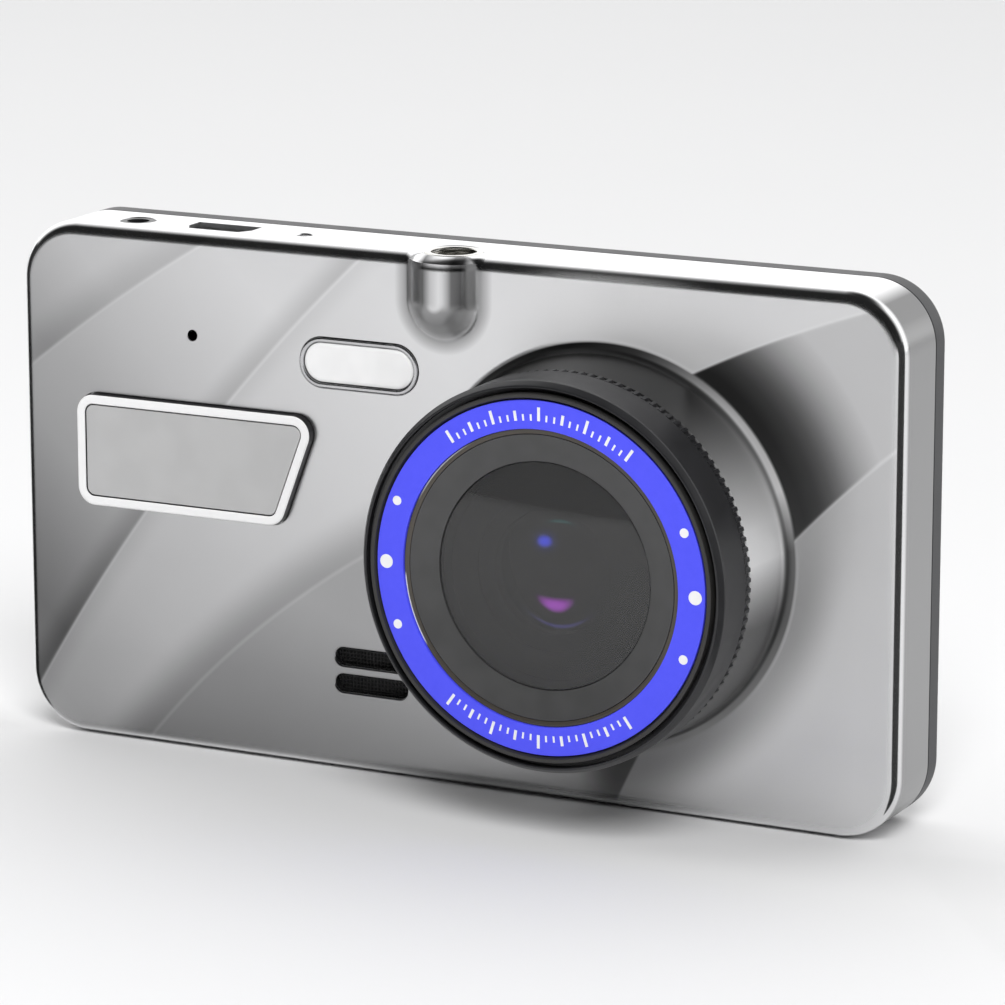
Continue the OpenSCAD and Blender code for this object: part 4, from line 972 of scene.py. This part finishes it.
def lens_tube():
    y_in, bore_r = 0.4, 16.45
    step_y, seat_y, wide_r = TURRET + 0.7, TURRET + 1.9, TUBE_R - 1.2
    rows = rounded_loop([(TUBE_R, y_in, 0), (TUBE_R, TURRET, 0.12), (TUBE_R - 0.47, TURRET, 0.05),
                         (TUBE_R - 0.72, step_y, 0), (bore_r, step_y, 0), (bore_r, seat_y, 0),
                         (wide_r, seat_y, 0), (wide_r, y_in, 0)], 4)
    o = raw_object("tube_body", turn(rows, LENS, "y", 256))
    pin_y = spot("focus_pin")[0].y
    combine(o, turn([(TUBE_R - 2, pin_y - 1.2), (TUBE_R + 1, pin_y - 1.2), (TUBE_R + 1, pin_y + 1.2),
                     (TUBE_R - 2, pin_y + 1.2)], LENS, "y", 48, 59, 121), "DIFFERENCE")
    return dress(o, "tube_black", stands_for=["lens_tube"])


lens_tube()

mark_lo, mark_hi = (local(v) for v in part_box("marking_ring"))
MARK_R, MARK_IN = spot("marking_ring")[1].x / 2, 16.43
mark_section = [(MARK_R, mark_lo.y, 0.06), (MARK_R, mark_hi.y, 0), (MARK_IN, mark_hi.y, 0),
                (MARK_IN, mark_lo.y, 0.06)]
piece("blue_ring", turn(rounded_loop(mark_section, 3), LENS, "y", 256), "ring_blue",
      stands_for=["marking_ring"])
DOT_CIRCLE, TICK_FOOT = 18.45, 17.35


def ring_marks():
    """Index dots at the sides and plain scale lines along the top and bottom of the blue ring."""
    y0, y1 = mark_lo.y - 0.025, mark_lo.y + 0.1
    solids = []
    for side in (0, 180):
        for step, r in ((0, 0.78), (22, 0.53), (-22, 0.53)):
            a = math.radians(side + step)
            centre = (LENS.x + DOT_CIRCLE * math.cos(a), 0, LENS.z + DOT_CIRCLE * math.sin(a))
            solids.append(turn([(0, y0), (r - 0.03, y0), (r, y0 + 0.03), (r, y1), (0, y1)], centre, "y", 40))
    for middle in (90, 270):
        for k in range(-12, 13):
            a = math.radians(middle + 3.0 * k)
            length = 1.5 if k % 6 == 0 else 1.1 if k % 3 == 0 else 0.7
            width = 0.17 if k % 3 == 0 else 0.11
            u, v = np.array((math.cos(a), math.sin(a))), np.array((-math.sin(a), math.cos(a)))
            centre = np.array((LENS.x, LENS.z))
            corners = [centre + u * (TICK_FOOT + i * length) + v * j * width
                       for i, j in ((0, -1), (1, -1), (1, 1), (0, 1))]
            solids.append(prism(corners, y0, y1))
    return joined(solids)


piece("ring_marks", ring_marks(), "badge_white", look=mark_white)

retain_lo, retain_hi = (local(v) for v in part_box("retaining_ring"))
RETAIN_R, RETAIN_IN = spot("retaining_ring")[1].x / 2, 15.83
retain_section = [(RETAIN_R, retain_lo.y, 0.05), (RETAIN_R, retain_hi.y, 0), (RETAIN_IN, retain_hi.y, 0),
                  (RETAIN_IN, retain_lo.y + 0.15, 0.05)]
piece("inner_bezel", turn(rounded_loop(retain_section, 3), LENS, "y", 256), "ring_bronze",
      stands_for=["retaining_ring"])

cone_lo, cone_hi = (local(v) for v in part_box("lens_cone"))
CONE_R = spot("lens_cone")[1].x / 2
GLASS_R = spot("cover_glass")[1].x / 2
cone_in, glass_seat, seat_y = GLASS_R - 0.8, GLASS_R + FIT, cone_lo.y + 2.05
cone_section = [(CONE_R, cone_lo.y, 0.04), (CONE_R, cone_hi.y, 0), (cone_in, cone_hi.y, 0),
                (cone_in, seat_y, 0), (glass_seat, seat_y, 0), (glass_seat, cone_lo.y + 0.9, 0.08)]
piece("glass_cone", turn(rounded_loop(cone_section, 4), LENS, "y", 256), "cone_grey",
      stands_for=["lens_cone"])

glass_lo, glass_hi = (local(v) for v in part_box("cover_glass"))
glass_section = [(0, glass_lo.y), (GLASS_R - 0.18, glass_lo.y), (GLASS_R - 0.04, glass_lo.y + 0.06),
                 (GLASS_R, glass_lo.y + 0.18), (GLASS_R, glass_hi.y - 0.1), (GLASS_R - 0.1, glass_hi.y),
                 (0, glass_hi.y)]
piece("window_glass", turn(glass_section, LENS, "y", 256), "glass_clear", stands_for=["cover_glass"],
      weighted=False)

# ---------- front details ----------

badge_back = badge_mid.y + badge_size.y / 2
RIM_W, RIM_OUT, RIM_IN = 1.1, 0.28, 0.16
rim = [(0.0, badge_back), (0.0, BADGE_FRONT + RIM_OUT)]
rim += [(RIM_OUT * (1 - math.cos(a)), BADGE_FRONT + RIM_OUT * (1 - math.sin(a)))
        for a in bend(6)[1:]]
rim += [(RIM_W - RIM_IN * (1 - math.sin(a)), BADGE_FRONT + RIM_IN * (1 - math.cos(a)))
        for a in bend(5)]
rim += [(RIM_W, badge_back)]
piece("badge_rim", sweep(badge_arcs(), rim, 14, True), "badge_white", stands_for=["badge_frame"])
plate_lo = local(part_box("badge_plate")[0])
plate_edge = [(0.12, plate_lo.y), (0.03, plate_lo.y + 0.04), (0.0, plate_lo.y + 0.12), (0.0, badge_back)]
piece("badge_face", sweep(badge_arcs(-1.22), plate_edge, 14), "badge_grey", stands_for=["badge_plate"])

lamp_front = lamp_mid.y - lamp_size.y / 2
lamp_back = lamp_mid.y + lamp_size.y / 2
lamp_arcs = arcs_pill(lamp_size.x, lamp_size.z, lamp_mid.x, lamp_mid.z)
piece("lamp_bezel", sweep(lamp_arcs, [(0.0, lamp_back), (0.0, lamp_front + 0.15), (0.05, lamp_front + 0.04),
                                      (0.15, lamp_front), (0.36, lamp_front), (0.46, lamp_front + 0.05),
                                      (0.5, lamp_front + 0.16), (0.5, lamp_back)], 28, True),
      "lamp_rim", stands_for=["lamp_rim_ring"])
pane_lo = local(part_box("lamp_window")[0])
lamp_inner = arcs_pill(lamp_size.x - 1.1, lamp_size.z - 1.1, lamp_mid.x, lamp_mid.z)
pane_edge = [(0.5, pane_lo.y), (0.22, pane_lo.y + 0.03), (0.06, pane_lo.y + 0.12),
             (0.0, pane_lo.y + 0.3), (0.0, 1.9)]
pane = raw_object("lamp_lens", sweep(lamp_inner, pane_edge, 28))
lamp_flange = arcs_pill(lamp_size.x + 0.7, lamp_size.z + 0.7, lamp_mid.x, lamp_mid.z)
combine(pane, sweep(lamp_flange, [(0, 1.45), (0, 2.25)], 28), "UNION")
dress(pane, "lamp_white", stands_for=["lamp_window"])


def speaker_mesh():
    """Two layers of fine crossing wires in a thin frame."""
    lo, hi = (local(v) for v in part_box("speaker_mesh"))
    solids = [sweep(arcs_rect(hi.x - lo.x, hi.z - lo.z, 1.0, mesh_mid.x, mesh_mid.z),
                    [(0, lo.y + 0.1), (0, hi.y)], 8)]
    pitch = 0.42
    for i in range(int((hi.x - lo.x - 0.6) / pitch)):
        x = lo.x + 0.3 + (i + 0.5) * pitch
        solids.append(block(x - 0.07, x + 0.07, lo.y, lo.y + 0.09, lo.z + 0.25, hi.z - 0.25))
    for i in range(int((hi.z - lo.z - 0.6) / pitch)):
        z = lo.z + 0.3 + (i + 0.5) * pitch
        solids.append(block(lo.x + 0.25, hi.x - 0.25, lo.y + 0.02, lo.y + 0.095, z - 0.07, z + 0.07))
    return joined(solids)


piece("speaker_grille", speaker_mesh(), "mesh_black", stands_for=["speaker_mesh"],
      weighted=False)

# ---------- sockets ----------


def threaded_insert():
    """Bracket insert with a real helical thread in its bore."""
    seg, pitch, core, crest, bore_depth = 96, 1.0, 2.55, 2.98, 7.0
    floor = TOP - bore_depth
    turns = np.arange(seg) / seg
    rows = [(0, floor), (core, floor)]
    steps = int((TOP - floor) / pitch * 10)
    for i in range(1, steps):
        z = floor + (TOP - floor) * i / steps
        depth = np.abs(((z / pitch + turns) % 1.0) * 2 - 1)
        depth = np.clip((depth - 0.12) / 0.76, 0, 1)
        fade = min(1.0, i / 8, (steps - i) / 6)
        rows.append((core + (crest - core) * depth * fade, z))
    neck = INSERT_R - 0.6
    end = TOP - INSERT_LEN
    rows += [(core + 0.02, TOP - 0.07), (core + 0.08, TOP), (neck - 0.12, TOP), (neck, TOP - 0.12),
             (neck, TOP - 1.45), (INSERT_R, TOP - 1.5), (INSERT_R, end + 0.3),
             (INSERT_R - 0.3, end), (0, end)]
    return turn(rows, (0, THREAD_Y, 0), "z", seg)


piece("thread_insert", threaded_insert(), "plated_steel", stands_for=["bracket_insert"])

# ---------- camera, floor and light ----------

# the camera stands 27.3 degrees to the right of the front and 13.4 degrees above it
CAMERA_AT = (245.87, -475.50, 127.30)
ROLL = -0.211
SENSOR_MM = 36.0
LENS_MM = 176.17433
AIM_X, AIM_Z = 0.01187426, 0.00406653


def world(point):
    return FACE + Vector(point) * MM


def camera():
    eye = world(CAMERA_AT)
    look = (world((0, 0, 0)) - eye).normalized()
    right = look.cross(Vector((0, 0, 1))).normalized()
    up = right.cross(look)
    roll = math.radians(ROLL)
    right, up = math.cos(roll) * right + math.sin(roll) * up, math.cos(roll) * up - math.sin(roll) * right
    base = Matrix((right, up, -look)).transposed()
    ahead = Vector((AIM_X, AIM_Z, -1)).normalized()
    nudge = Vector((0, 0, -1)).rotation_difference(ahead)
    data = bpy.data.cameras.new("camera")
    data.sensor_width = SENSOR_MM
    data.lens = LENS_MM
    data.clip_start, data.clip_end = 0.05, 20
    o = bpy.data.objects.new("camera", data)
    o.matrix_world = Matrix.Translation(eye) @ (base @ nudge.to_matrix()).to_4x4()
    scene.collection.objects.link(o)
    scene.camera = o


camera()


def floor():
    r, gap = 6.0, 0.0002
    mesh = bpy.data.meshes.new("floor")
    low = cad_box[0].z - gap
    mesh.from_pydata([(-r, -r, low), (r, -r, low), (r, r, low), (-r, r, low)], [], [(0, 1, 2, 3)])
    o = bpy.data.objects.new("floor", mesh)
    scene.collection.objects.link(o)
    g = Graph("floor_matt")
    p = g.coords()[0]
    cloud = g.noise(p, 0.004, 3.0)
    g.set(base=g.mix(cloud, (0.78, 0.78, 0.785), (0.81, 0.81, 0.815)), rough=0.7,
          normal=g.bump(g.noise(p, 0.6, 3.0), 0.02), spec=0.2)
    mesh.materials.append(g.mat)


floor()


def soft_light(name, place, aim, size, power):
    data = bpy.data.lights.new(name, "AREA")
    data.shape = "RECTANGLE"
    data.size, data.size_y = size
    data.energy = power
    o = bpy.data.objects.new(name, data)
    o.location = place
    o.visible_glossy = False
    o.rotation_euler = (Vector(aim) - Vector(place)).to_track_quat("-Z", "Y").to_euler()
    scene.collection.objects.link(o)


soft_light("key", (0.8, -1.3, 1.5), (0, 0, -0.03), (1.0, 1.0), 38)
soft_light("fill", (-1.5, -0.5, 1.2), (0, 0, -0.03), (0.9, 0.9), 8)


def dark_card(name, x0, a0, a1):
    """Dark card that only polished surfaces see: a fan on the floor beside the object and an upright rim."""
    reach, height, n = 0.2, 0.1, 8
    low = cad_box[0].z
    places = [(x0 + reach * math.sin(a), -reach * math.cos(a))
              for a in np.radians(np.linspace(a0, a1, n + 1))]
    verts = [(x, y, z) for z in (low, low + height) for x, y in places] + [(x0, FACE.y, low)]
    faces = [(k, k + 1, n + k + 2, n + k + 1) for k in range(n)] + [(k, k + 1, 2 * n + 2) for k in range(n)]
    mesh = bpy.data.meshes.new(name)
    mesh.from_pydata(verts, [], faces)
    o = bpy.data.objects.new(name, mesh)
    scene.collection.objects.link(o)
    g = Graph(name)
    base = g.mix(g.noise(g.coords()[0], 0.01), (0.02, 0.02, 0.02), (0.03, 0.03, 0.03))
    g.set(base=base, rough=0.9)
    mesh.materials.append(g.mat)
    o.visible_camera = False
    o.visible_diffuse = False
    o.visible_shadow = False
    o.visible_transmission = False


dark_card("card_right", cad_box[1].x, 38, 92)
dark_card("card_left", cad_box[0].x, -105, -56)


def studio():
    """Studio surround: bright behind the object, dim in front and overhead."""
    bright, dim = 1.45, 0.02
    sky = bpy.data.worlds.new("studio")
    scene.world = sky
    sky.use_nodes = True
    tree = sky.node_tree
    back = tree.nodes["Background"]
    where = tree.nodes.new("ShaderNodeTexCoord")
    split = tree.nodes.new("ShaderNodeSeparateXYZ")
    tree.links.new(where.outputs["Generated"], split.inputs[0])

    def step(socket, values):
        n = tree.nodes.new("ShaderNodeMapRange")
        n.interpolation_type = "SMOOTHSTEP"
        tree.links.new(socket, n.inputs[0])
        for target, v in zip(n.inputs[1:5], values):
            target.default_value = v
        return n.outputs[0]

    def maths(operation, a, b):
        n = tree.nodes.new("ShaderNodeMath")
        n.operation = operation
        for target, v in zip(n.inputs, (a, b)):
            if isinstance(v, bpy.types.NodeSocket):
                tree.links.new(v, target)
            else:
                target.default_value = v
        return n.outputs[0]

    low = step(split.outputs[2], (0.8, 1.0, 1.0, 0.0))
    behind = step(split.outputs[1], (-0.3, 0.3, 0.0, 1.0))
    glow = maths("MULTIPLY", maths("MULTIPLY", low, behind), bright)
    tree.links.new(maths("ADD", glow, dim), back.inputs[1])
    back.inputs[0].default_value = (1, 1, 1, 1)


studio()
scene.view_settings.view_transform = "Standard"
scene.view_settings.look = "None"
